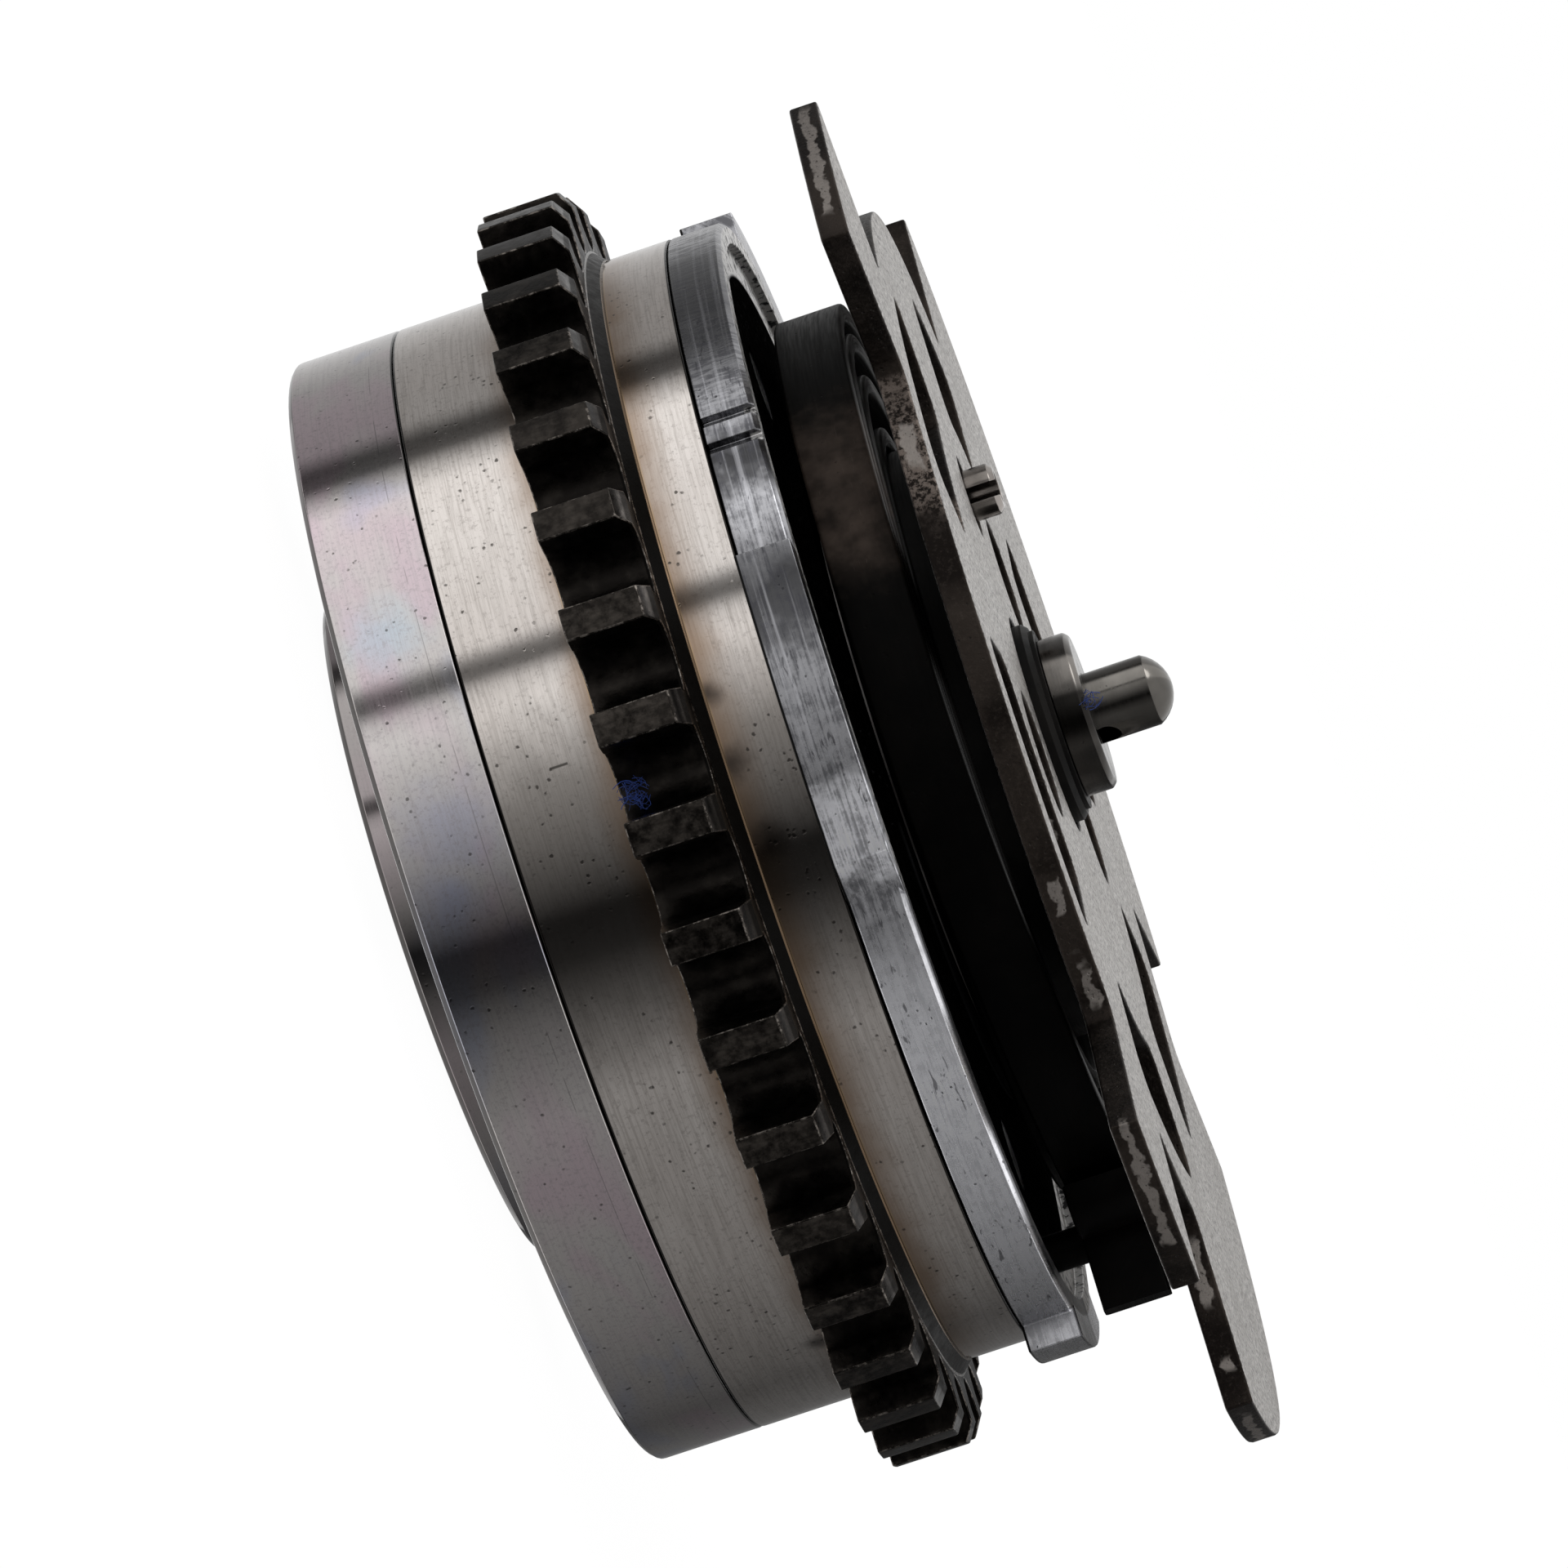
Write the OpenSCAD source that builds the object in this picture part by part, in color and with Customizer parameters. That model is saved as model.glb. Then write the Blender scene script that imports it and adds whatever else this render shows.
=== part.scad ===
// Vane-type cam phaser: chain-driven drum, spiral bias spring,
// trigger plate and central control valve. The axis is +Z, the plate is at the top,
// and the origin is the centre of the rear boss face.

/* [Drum] */
// Outer radius of the covers and the plain bands of the stator
drum_r = 44.5; // [43:0.25:45]
// Thickness of the drum's wall outside the chambers
drum_wall = 6.5; // [6:0.1:7.5]
// Width of the ring that stands as a boss on the back of the rear cover
boss_wall = 5.5; // [4.5:0.1:5.6]
// Height of the rear boss
boss_h = 3.6; // [2:0.1:6]
// Thickness of the rear cover without its boss
rear_cover_t = 8.5; // [8:0.1:12]
// Length of the stator between the covers
stator_l = 22; // [20:0.25:28]
// Thickness of the front cover
front_cover_t = 4.3; // [4.2:0.1:6]
// How far the camshaft's bore lies inside the rim of the rotor's hub
cam_bore_c = 0.8; // [0.5:0.1:1.1]
// Width of the small chamfers on the turned edges
edge_c = 0.4; // [0.2:0.05:0.7]

/* [Sprocket] */
// Number of teeth
teeth = 38; // [38:1:42]
// Chain pitch
chain_pitch = 8; // [8:0.125:9.5]
// Diameter of the chain's rollers
roller_d = 5; // [4.6:0.1:5.2]
// Width of the teeth along the axis
tooth_w = 6.9; // [5:0.1:8]
// Distance from the stator's rear face to the teeth
tooth_z = 8.9; // [6:0.1:10]
// Chamfer on the front corner of each tooth
tooth_c = 0.9; // [0.3:0.1:1.4]
// Height of the sloped shoulder in front of the teeth
shoulder_h = 1; // [0.4:0.1:1.5]
// Angle of the first tooth
tooth_phase = 2.94; // [0:0.02:9.4]

/* [Front cover] */
// Height of the rim lugs above the drum
lug_up = 2.1; // [1:0.1:3.5]
// Angle that one rim lug spans
lug_deg = 28; // [10:1:40]
// Start angle of the first rim lug
lug_1 = 140; // [125:1:150]
// Start angle of the second rim lug
lug_2 = 344; // [320:1:350]
// Start angle of the wide rim lug
lug_3 = 246; // [240:1:260]
// Angle that the wide rim lug spans
wide_lug_deg = 36; // [28:1:40]
// Angle over which the wide rim lug slopes down at its lower end
lug_slope = 6; // [2:1:10]
// Width of the rim that stands round the front face
rim_w = 1.8; // [1.2:0.1:3]
// Depth of the face inside the rim
rim_d = 0.75; // [0.4:0.05:1]
// Width of one timing notch
notch_w = 0.9; // [0.5:0.1:1.5]
// Depth of a timing notch
notch_d = 0.7; // [0.3:0.1:1]
// Angle midway between the two timing notches
notch_mid = 230.7; // [200:0.1:250]
// Angle from one timing notch to the other
notch_step = 3.4; // [2:0.1:8]
// Width of the collar round the front bore
collar_w = 4.6; // [3:0.1:5]

/* [Vanes] */
// Number of vanes
vanes = 5; // [4:1:5]
// Angle that a plain vane spans
vane_deg = 16; // [12:1:18]
// Angle that the vane with the lock pin spans
lock_vane_deg = 26; // [25:1:28]
// Cam angle that the rotor can turn through
travel_deg = 20; // [12:1:21]
// Angle left between a vane and its stop at each end
stop_deg = 0.6; // [0.5:0.1:1]
// Angle of the first vane at rest
vane_phase = 24.6; // [20:0.2:30]
// Radial and end clearance of the running fits
run_c = 0.05; // [0.02:0.01:0.08]
// Width of the seal strips in the vane tips and lobes
seal_w = 2; // [1.6:0.1:2.6]
// Depth of the seal strips
seal_h = 3; // [2.5:0.1:3.5]
// Thickness of the leaf springs behind the seals
leaf_t = 0.3; // [0.2:0.05:0.4]
// Radius of the oil drillings
oil_r = 1.4; // [1:0.1:1.6]

/* [Camshaft bolts] */
// Wall between a camshaft bolt hole and the rim of the hub
bolt_wall = 1.4; // [1:0.1:1.8]
// Radius of the camshaft bolt holes in the rotor
bolt_r = 3.3; // [2.7:0.1:3.6]
// Radius of the bolt head pockets in the hub and plate
pocket_r = 4.9; // [4.5:0.1:5.1]
// Angle of the first camshaft bolt hole
bolt_phase = 60.6; // [57:0.2:64]
// Radius of the hole for the camshaft's locating pin
cam_pin_r = 2.5; // [1.5:0.1:2.6]
// Depth of that hole
cam_pin_in = 6; // [4:0.5:8]
// Height of the land that meets the camshaft's end
pad_h = 0.3; // [0.2:0.05:0.5]

/* [Screws and dowels] */
// How far the cover screws lie outside the middle of the chambers
screw_out = 2.5; // [2.2:0.1:3]
// Radius of a cover screw's shank
screw_r = 3; // [2.5:0.1:3.2]
// Radius of a cover screw's head
head_r = 5; // [4.6:0.1:5.1]
// Height of a cover screw's head
head_h = 6; // [5:0.1:6.5]
// Radius of the dowels that line up the covers
cover_dowel_r = 1.5; // [1:0.1:1.8]
// Angle from the middle of a lobe to its dowel
cover_dowel_off = 12.5; // [12:0.1:13]
// Depth of a dowel in each cover
dowel_in = 2; // [1.5:0.1:2.1]

/* [Lock pin] */
// Radius of the lock pin
lock_r = 3.5; // [3:0.1:3.7]
// Wall between the lock pin's bore and the seal slot
lock_web = 0.9; // [0.5:0.1:1.5]
// Wall between the front cover's bore and the lock bush
bush_wall = 2.55; // [1.5:0.05:2.6]
// Stroke of the lock pin
lock_stroke = 3; // [2:0.1:3]
// Outer radius of the lock bush
bush_r = 5; // [4.6:0.1:5.3]
// Length of the lock pin
lock_l = 13; // [11:0.5:13.5]

/* [Spring hub] */
// Gap between the front cover's rim and the hub's flange
hub_gap = 0.3; // [0.3:0.05:0.8]
// How far the flange behind the spring stands out past the hub
flange_over = 1.3; // [0.8:0.1:1.9]
// Thickness of that flange
flange_t = 0.9; // [0.7:0.1:2]
// Wall between a bolt head pocket and the hub's rim
pocket_wall = 1.4; // [1:0.1:1.8]

/* [Bias spring] */
// Width of the spring wire along the axis
spring_w = 5.3; // [4:0.1:6]
// Thickness of the spring wire
spring_t = 1.5; // [1:0.1:1.7]
// How far the spring's outer turn lies inside the drum's edge
spring_inset = 8; // [8:0.1:9.5]
// How evenly the turns are spaced: 1 is an even spiral, less is closer at the rim
spring_even = 0.5; // [0.5:0.01:1]
// Turns of the spring
spring_turns = 3.5; // [2.5:0.25:3.75]
// Angle of the tail that leans on the post
tail_deg = 340; // [330:1:346]
// How far the tail reaches past the drum's edge
tail_over = 1.9; // [0:0.1:4]
// How far the tail stands above the other turns
tail_lift = 1; // [0.4:0.1:1.4]
// Angle over which the outer turn rises to the tail
rise_deg = 50; // [30:5:80]
// Play between the spring and the flange that it lies on
spring_seat = 0.1; // [0.05:0.05:0.5]
// Play between the spring and what stands beside it
spring_gap = 0.3; // [0.2:0.05:0.4]
// Radius of the post that holds the tail
post_r = 1.5; // [1.2:0.1:2]
// How far the post stands outside the spring
post_out = 3.5; // [3.2:0.1:4]

/* [Trigger plate] */
// Thickness of the trigger plate
plate_t = 2.2; // [1.8:0.1:3]
// Gap between the spring and the plate
plate_gap = 2.4; // [1:0.1:3]
// Radius of the plate between its tabs
plate_r = 41.6; // [40:0.1:43]
// Radius to the top of the tabs
tab_r = 57.3; // [52:0.1:62]
// Angle that a long tab spans
long_tab = 70; // [60:1:74]
// Angle that a short tab spans
short_tab = 17; // [12:0.5:30]
// Leading edge of the first tab
tab_phase = 47.5; // [40:0.5:50]
// Fillet at the root of the tabs
tab_fillet = 2; // [1:0.25:3]
// Web between the hub and the windows
window_web = 2.4; // [2.2:0.1:3.4]
// Width of the plate outside the windows
window_rim = 4.9; // [4:0.1:7]
// Angle that a window spans
window_deg = 38; // [30:1:42]
// Angle of the first window's middle
window_phase = 36.5; // [34:0.5:38]
// Corner radius of the windows
window_c = 2.6; // [1.5:0.1:3.5]
// Angle that the short window spans
short_window_deg = 25; // [20:1:30]
// Angle of the short window's middle
short_window_mid = 151.5; // [146:0.5:156]
// Radius of the plate's bore
plate_bore_r = 8.6; // [8.4:0.1:9]

/* [Plate dowel] */
// Radius of the rolled dowel
dowel_r = 2.05; // [1.8:0.05:2.3]
// Wall between the dowel and the rim of the hub
dowel_wall = 1.45; // [1:0.05:2]
// Thickness of the sheet that the dowel is rolled from
roll_t = 0.8; // [0.5:0.05:1]
// Width of the slit along the dowel
slit_w = 1.2; // [0.6:0.1:1.4]
// Depth of the dowel in the rotor
hub_pin_in = 7; // [5:0.5:9]
// Angle of the dowel
dowel_deg = 178; // [172:1:184]
// Height of the dowel above the plate
dowel_up = 2.3; // [1:0.1:4]
// Radius of the relief round the dowel in the plate
dowel_hole_r = 3.2; // [2.8:0.1:3.4]

/* [Control valve] */
// Outer radius of the valve sleeve
sleeve_r = 7.9; // [7.5:0.05:8.1]
// Height of the sleeve above the plate
sleeve_up = 1; // [0.6:0.1:1.5]
// Radius of the spool
spool_r = 4.8; // [4.5:0.1:5]
// Radius of the valve's head
cap_r = 6.3; // [6.1:0.1:7]
// Height of the valve's head
cap_h = 2.5; // [2:0.1:4]
// Thickness of the ring behind the head
ring_t = 0.35; // [0.3:0.05:0.6]
// Radius of the ring behind the head
ring_r = 7.2; // [6.8:0.1:7.4]
// Radius of the plunger pin
pin_r = 2.8; // [2.4:0.1:3]
// Height of the plunger pin above the head
pin_up = 6.4; // [5:0.1:8]
// Height of the pin's domed end
dome_h = 1.75; // [1:0.05:2.2]
// Radius of the flat at the tip of the dome
dome_flat = 0.3; // [0.2:0.1:0.8]
// Radius of the cross hole in the pin
cross_r = 1.2; // [0.8:0.05:1.3]
// Angle of the cross hole
cross_deg = 330; // [300:5:350]
// How far the cross hole's middle stands above the valve's head
cross_up = 0.4; // [0.2:0.05:1.2]
// Stroke of the spool
spool_stroke = 3.2; // [2:0.1:4]

/* [Hidden] */
$fn = 96;
far = 4 * tab_r;
hair = 0.02;
cut = 1;
leaf_room = 0.9;

// Radii, from the drum's edge inward: wall, vanes with the lock pin in one, hub, bolts
vane_h = 3 * run_c + bush_r + bush_wall + lock_r + lock_web + leaf_room + seal_h;
bore_r = drum_r - drum_wall;
hub_r = bore_r - vane_h;
lock_pcr = hub_r + run_c + bush_r + bush_wall;
screw_pcr = (hub_r + bore_r) / 2 + screw_out;
bolt_pcr = hub_r - bolt_r - bolt_wall;
dowel_pcr = hub_r - dowel_r - dowel_wall;
cam_bore_r = hub_r - cam_bore_c;
pad_r = cam_bore_r - cam_bore_c;
boss_r = cam_bore_r + boss_wall;
lug_r = drum_r + lug_up;
spool_hub_r = bolt_pcr + pocket_r + pocket_wall;
flange_r = spool_hub_r + flange_over;
spring_r = drum_r - spring_inset;
post_pcr = spring_r + post_out;
tail_r = drum_r + tail_over;
window_in = spool_hub_r + window_web;
window_out = plate_r - window_rim;

// Levels along the axis
z_rear = boss_h;
z_stator = z_rear + rear_cover_t;
z_front = z_stator + stator_l;
z_rim = z_front + front_cover_t;
z_face = z_rim - rim_d;
z_hub = z_rim + hub_gap;
z_spring = z_hub + flange_t + spring_seat;
z_plate = z_spring + spring_w + plate_gap;
z_plate_top = z_plate + plate_t;
z_sleeve = z_plate_top + sleeve_up;
z_ring = z_sleeve + ring_t;
z_cap = z_ring + cap_h;
z_pin = z_cap + pin_up;

// Places round the axis: three of five equal steps carry a bolt, the fourth the camshaft's pin
bolt_step = 72;
bolt_at = [for (k = [0, 1, 3]) bolt_phase + k * bolt_step];
cam_pin_at = bolt_phase + 2 * bolt_step;
lugs = [[lug_1, lug_deg], [lug_2, lug_deg], [lug_3, wide_lug_deg]];
lug_end = lug_3 + wide_lug_deg;
notch_at = [notch_mid - notch_step / 2, notch_mid + notch_step / 2];

// Fits of the screws and dowels
screw_c = 0.3;
head_c = 0.25;
sink = 0.2;

// Sprocket radii for a bush chain
pitch_r = chain_pitch / (2 * sin(180 / teeth));
seat_r = 0.505 * roller_d + 0.07 * pow(roller_d, 1 / 3);
root_r = pitch_r - seat_r;
tip_r = chain_pitch * (0.6 + 1 / tan(180 / teeth)) / 2;
z_tooth = z_stator + tooth_z;
z_tooth_top = z_tooth + tooth_w;

// Vanes and chambers: the last vane carries the lock pin
vane_pitch = 360 / vanes;
function vane_span(i) = i == vanes - 1 ? lock_vane_deg : vane_deg;
function vane_at(i) = vane_phase + i * vane_pitch;
function chamber_span(i) = vane_span(i) + travel_deg + 2 * stop_deg;
function chamber_at(i) = vane_at(i) - travel_deg / 2;
function lobe_at(i) = vane_at(i) - travel_deg / 2 + vane_pitch / 2;
lock_at = vane_at(vanes - 1);
cover_dowel_at = [lobe_at(0) + cover_dowel_off, lobe_at(2) + cover_dowel_off];
seal_gap = 0.08;
oil_deg = 5;
port_deg = 12;
oil_rows = [0.3, 0.6];

// Lock pin levels
lock_c = 0.15;
lock_play = 0.3;
bush_l = lock_stroke + sink;
z_lock = z_front - run_c - lock_c - lock_l;
z_lock_roof = z_lock + lock_l * 0.6;
lock_wall = 1.1;
lock_seat_h = 1.2;
coil_c = 0.05;
lock_coil_r = 0.35;
lock_bore_floor = z_lock - lock_stroke - lock_play - lock_seat_h;

// Control valve levels
z_sleeve_foot = z_stator + 1;
plug_h = 2.2;
spigot_h = 4;
spigot_r = 5.8;
spool_coil_r = 0.45;
spool_coils = 6;
z_spool_spring = z_sleeve_foot + plug_h + coil_c;
z_spool_foot = z_spool_spring + 2 * spool_coil_r * spool_coils + spool_stroke + coil_c;
z_spool_top = z_sleeve - spigot_h - sink;
spool_l = z_spool_top - z_spool_foot;
land_d = 1.2;
nose_c = 0.05;
slit_deg = 270;

// Trigger plate: trailing edge and span of each tab
tab_spans = [long_tab, long_tab, short_tab, short_tab];
tab_ends = [tab_phase, tab_phase + 90, tab_phase + 270, tab_phase + 180];

function polar(r, a) = [r * cos(a), r * sin(a)];

// A flat wedge from angle a0 to angle a1, long enough to cut anything here
module wedge(a0, a1) {
    step = (a1 - a0) / 3;
    polygon([[0, 0], polar(far, a0), polar(far, a0 + step), polar(far, a1 - step), polar(far, a1)]);
}

module ring2(r_in, r_out) {
    difference() {
        circle(r_out);
        circle(r_in);
    }
}

module sector(r_in, r_out, a0, a1) {
    intersection() {
        ring2(r_in, r_out);
        wedge(a0, a1);
    }
}

// A sector with round corners whose sides stay radial. The corner arcs cross the sides by a hair.
module round_sector(r_in, r_out, a0, a1, c) {
    turn_in = asin(c / (r_in + c));
    turn_out = asin(c / (r_out - c));
    sector((r_in + c) * cos(turn_in), (r_out - c) * cos(turn_out), a0, a1);
    sector(r_in, r_out - c, a0 + turn_in, a1 - turn_in);
    sector(r_in + c, r_out, a0 + turn_out, a1 - turn_out);
    for (a = [a0 + turn_in, a1 - turn_in])
        translate(polar(r_in + c, a)) circle(c + hair, $fn = 32);
    for (a = [a0 + turn_out, a1 - turn_out])
        translate(polar(r_out - c, a)) circle(c + hair, $fn = 32);
}

// Extrude between two levels
module level(z0, z1) {
    translate([0, 0, z0]) linear_extrude(z1 - z0) children();
}

// A turned disc between two levels with chamfered rims
module turned(r, z0, z1, c0, c1) {
    rotate_extrude()
        polygon([[0, z0], [r - c0, z0], [r, z0 + c0], [r, z1 - c1], [r - c1, z1], [0, z1]]);
}

// A hole on the axis that runs past both levels
module hole(r, z0, z1) {
    translate([0, 0, z0 - cut]) cylinder(r = r, h = z1 - z0 + 2 * cut);
}

module drill(r, z0, z1, pcr, a) {
    translate([pcr * cos(a), pcr * sin(a), z0]) cylinder(r = r, h = z1 - z0, $fn = 48);
}

// A coil of round wire that stands on z0
module coil(mean_r, wire_r, z0, z1, turns) {
    n = 14 * turns;
    m = 8;
    rise = z1 - z0 - 2 * wire_r;
    points = [for (i = [0:n]) for (j = [0:m - 1])
        let (a = 360 * turns * i / n, b = 360 * j / m, r = mean_r + wire_r * cos(b))
        [r * cos(a), r * sin(a), z0 + wire_r + rise * i / n + wire_r * sin(b)]];
    sides = [for (i = [0:n - 1]) for (j = [0:m - 1])
        [i * m + j, i * m + (j + 1) % m, (i + 1) * m + (j + 1) % m, (i + 1) * m + j]];
    foot = [for (j = [m - 1:-1:0]) j];
    head = [for (j = [0:m - 1]) n * m + j];
    polyhedron(points = points, faces = concat(sides, [foot, head]), convexity = 8);
}

module rear_cover() {
    color([0.62, 0.6, 0.61]) difference() {
        union() {
            turned(drum_r, z_rear, z_stator, edge_c, edge_c / 2);
            turned(boss_r, 0, z_rear + 1, edge_c, 0);
        }
        hole(cam_bore_r, 0, z_stator);
        // Relief at the bore's inner end, which the rotor's land stands in
        translate([0, 0, z_stator - pad_h - edge_c])
            cylinder(r = cam_bore_r + cam_bore_c / 2, h = pad_h + edge_c + cut);
        for (i = [0:vanes - 1]) {
            drill(screw_r + screw_c, z_rear - 1, z_stator + 1, screw_pcr, lobe_at(i));
            drill(head_r + head_c, z_rear - 1, z_rear + head_h + sink, screw_pcr, lobe_at(i));
        }
        for (a = cover_dowel_at)
            drill(cover_dowel_r, z_stator - dowel_in, z_stator + cut, screw_pcr, a);
    }
}

// Toothed band: the roller seats and their straight flanks are cut round the tips
module tooth_gap() {
    mouth = seat_r + 0.45;
    foot = pitch_r - seat_r / 5;
    translate([pitch_r, 0]) circle(seat_r, $fn = 32);
    polygon([[foot, -0.9 * seat_r], [tip_r + 1, -mouth], [tip_r + 1, mouth], [foot, 0.9 * seat_r]]);
}

module tooth_band() {
    inner = (bore_r + drum_r) / 2;
    foot = root_r - 0.3;
    drop = max(foot - drum_r, 0.2);
    top = z_tooth_top + 1.5 * shoulder_h;
    difference() {
        rotate_extrude() polygon([[inner, z_tooth], [tip_r, z_tooth], [tip_r, z_tooth_top - tooth_c],
            [tip_r - tooth_c * 1.6, z_tooth_top], [foot, z_tooth_top], [drum_r - drop / 2, top],
            [inner, top]]);
        level(z_tooth - 1, z_tooth_top + shoulder_h)
            for (i = [0:teeth - 1]) rotate(tooth_phase + (i + 0.5) * 360 / teeth) tooth_gap();
    }
}

module stator() {
    slot_out = hub_r + run_c + seal_h + leaf_room;
    color([0.6, 0.58, 0.56]) {
        level(z_stator, z_front) difference() {
            circle(drum_r);
            circle(hub_r + run_c);
            for (i = [0:vanes - 1]) {
                sector(hub_r - 2, bore_r, chamber_at(i) - chamber_span(i) / 2,
                    chamber_at(i) + chamber_span(i) / 2);
                translate(polar(screw_pcr, lobe_at(i))) circle(screw_r + screw_c, $fn = 48);
                rotate(lobe_at(i)) translate([hub_r - 1, -seal_w / 2]) square([slot_out - hub_r + 1, seal_w]);
            }
            for (a = cover_dowel_at)
                translate(polar(screw_pcr, a)) circle(cover_dowel_r, $fn = 32);
        }
        tooth_band();
    }
}

module front_cover() {
    color([0.56, 0.56, 0.6]) difference() {
        union() {
            turned(drum_r, z_front, z_rim, edge_c / 2, edge_c);
            level(z_front, z_rim) difference() {
                for (l = lugs) sector(drum_r - rim_w / 2, lug_r, l[0], l[0] + l[1]);
                polygon([polar(drum_r - 0.45 * rim_w, lug_end), polar(lug_r, lug_end - lug_slope),
                    polar(lug_r + lug_up, lug_end - lug_slope), polar(lug_r + lug_up, lug_end + lug_slope)]);
            }
        }
        difference() {
            translate([0, 0, z_face]) cylinder(r = drum_r - rim_w, h = rim_d + 1);
            translate([0, 0, z_face - 1]) cylinder(r = hub_r + collar_w, h = rim_d + 1);
        }
        hole(hub_r + run_c, z_front, z_rim);
        for (a = notch_at)
            level(z_front - 1, z_rim + 1) rotate(a)
                translate([drum_r - notch_d, -notch_w / 2]) square([2 * notch_d, notch_w]);
        for (i = [0:vanes - 1])
            drill(screw_r, z_front - 1, z_rim + 1, screw_pcr, lobe_at(i));
        for (a = cover_dowel_at)
            drill(cover_dowel_r, z_front - cut, z_front + dowel_in, screw_pcr, a);
        drill(bush_r, z_front - 1, z_front + bush_l, lock_pcr, lock_at);
        drill(post_r, z_front + 1, z_rim + 1, post_pcr, post_deg());
    }
}

module cover_screws() {
    color([0.3, 0.3, 0.31]) for (i = [0:vanes - 1]) difference() {
        union() {
            drill(head_r, z_rear + sink, z_rear + sink + head_h, screw_pcr, lobe_at(i));
            drill(screw_r, z_rear + head_h, z_face - sink, screw_pcr, lobe_at(i));
        }
        translate([screw_pcr * cos(lobe_at(i)), screw_pcr * sin(lobe_at(i)), z_rear])
            cylinder(r = head_r * 0.55, h = head_h * 0.55, $fn = 6);
    }
}

module cover_dowels() {
    color([0.5, 0.5, 0.52]) for (a = cover_dowel_at)
        drill(cover_dowel_r, z_stator - dowel_in + sink, z_front + dowel_in - sink, screw_pcr, a);
}

module lock_bush() {
    color([0.45, 0.45, 0.47]) difference() {
        drill(bush_r, z_front, z_front + bush_l, lock_pcr, lock_at);
        drill(lock_r + lock_c, z_front - 1, z_front + bush_l + 1, lock_pcr, lock_at);
    }
}

module lobe_seals() {
    r0 = hub_r + seal_gap;
    color([0.18, 0.17, 0.16]) for (i = [0:vanes - 1])
        level(z_stator + seal_gap, z_front - seal_gap) rotate(lobe_at(i))
            translate([r0, -seal_w / 2 + seal_gap / 2]) square([seal_h, seal_w - seal_gap]);
}

module vane_seals() {
    r0 = bore_r - seal_gap - seal_h;
    color([0.18, 0.17, 0.16]) for (i = [0:vanes - 1])
        level(z_stator + run_c + seal_gap, z_front - run_c - seal_gap) rotate(vane_at(i))
            translate([r0, -seal_w / 2 + seal_gap / 2]) square([seal_h, seal_w - seal_gap]);
}

// A leaf spring is a shallow bow in the slot behind its seal
module leaf(r_foot, r_top, a) {
    half = stator_l / 2 - 2;
    rise = r_top - r_foot - leaf_t;
    mid = (z_stator + z_front) / 2;
    bow = [for (k = [-4:4]) [rise * (1 - pow(k / 4, 2)), half * k / 4]];
    back = [for (k = [4:-1:-4]) [rise * (1 - pow(k / 4, 2)) + leaf_t, half * k / 4]];
    rotate(a) translate([r_foot, (seal_w - 0.5) / 2, mid]) rotate([90, 0, 0])
        linear_extrude(seal_w - 0.5) polygon(concat(bow, back));
}

module lobe_seal_springs() {
    color([0.5, 0.5, 0.52]) for (i = [0:vanes - 1])
        leaf(hub_r + seal_gap + seal_h + 0.02, hub_r + run_c + seal_h + leaf_room - 0.02, lobe_at(i));
}

module vane_seal_springs() {
    color([0.5, 0.5, 0.52]) for (i = [0:vanes - 1])
        leaf(bore_r - run_c - seal_h - leaf_room + 0.02, bore_r - seal_gap - seal_h - 0.02, vane_at(i));
}

// Angle at which the post stands behind the spring's tail
function post_deg() = tail_deg + asin((spring_t / 2 + 0.05 + post_r) / post_pcr);

module spring_post() {
    color([0.12, 0.12, 0.12]) drill(post_r, z_front + 1, z_spring + spring_w, post_pcr, post_deg());
}

// Spiral strip: the mean line grows by one step a turn, with an inward hook and an outward tail
spring_mean_in = spool_hub_r + spring_gap + spring_t / 2;
spring_mean_out = spring_r - spring_t / 2;
spring_a0 = tail_deg - 360 * spring_turns;
function spring_grow(t) = spring_even * t + (1 - spring_even) * (1 - pow(1 - t, 2));
function spring_mean(t) = spring_mean_in + (spring_mean_out - spring_mean_in) * spring_grow(t);
function spring_ang(t) = spring_a0 + 360 * spring_turns * t;
hook_in = 3;

// Flat shape of the wire between two shares of its length
module wire(t0, t1) {
    n = ceil(40 * spring_turns * (t1 - t0));
    at = [for (i = [0:n]) t0 + (t1 - t0) * i / n];
    back = [for (i = [n:-1:0]) t0 + (t1 - t0) * i / n];
    polygon(concat([for (t = at) polar(spring_mean(t) + spring_t / 2, spring_ang(t))],
        [for (t = back) polar(spring_mean(t) - spring_t / 2, spring_ang(t))]));
}

// The outer turn rises to the tail in one step, and both levels share its middle
module bias_spring() {
    rise = rise_deg / (360 * spring_turns);
    z_tail = z_spring + tail_lift;
    color([0.09, 0.085, 0.08]) {
        level(z_spring, z_spring + spring_w) {
            wire(0, 1 - rise / 2);
            rotate(spring_a0) translate([spring_mean_in - hook_in, -spring_t / 2])
                square([hook_in + spring_t * 0.4, spring_t]);
        }
        level(z_tail, z_tail + spring_w) {
            wire(1 - rise, 1);
            rotate(tail_deg) translate([spring_mean_out - spring_t * 0.4, -spring_t / 2])
                square([tail_r - spring_mean_out + spring_t * 0.4, spring_t]);
        }
    }
}

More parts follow.
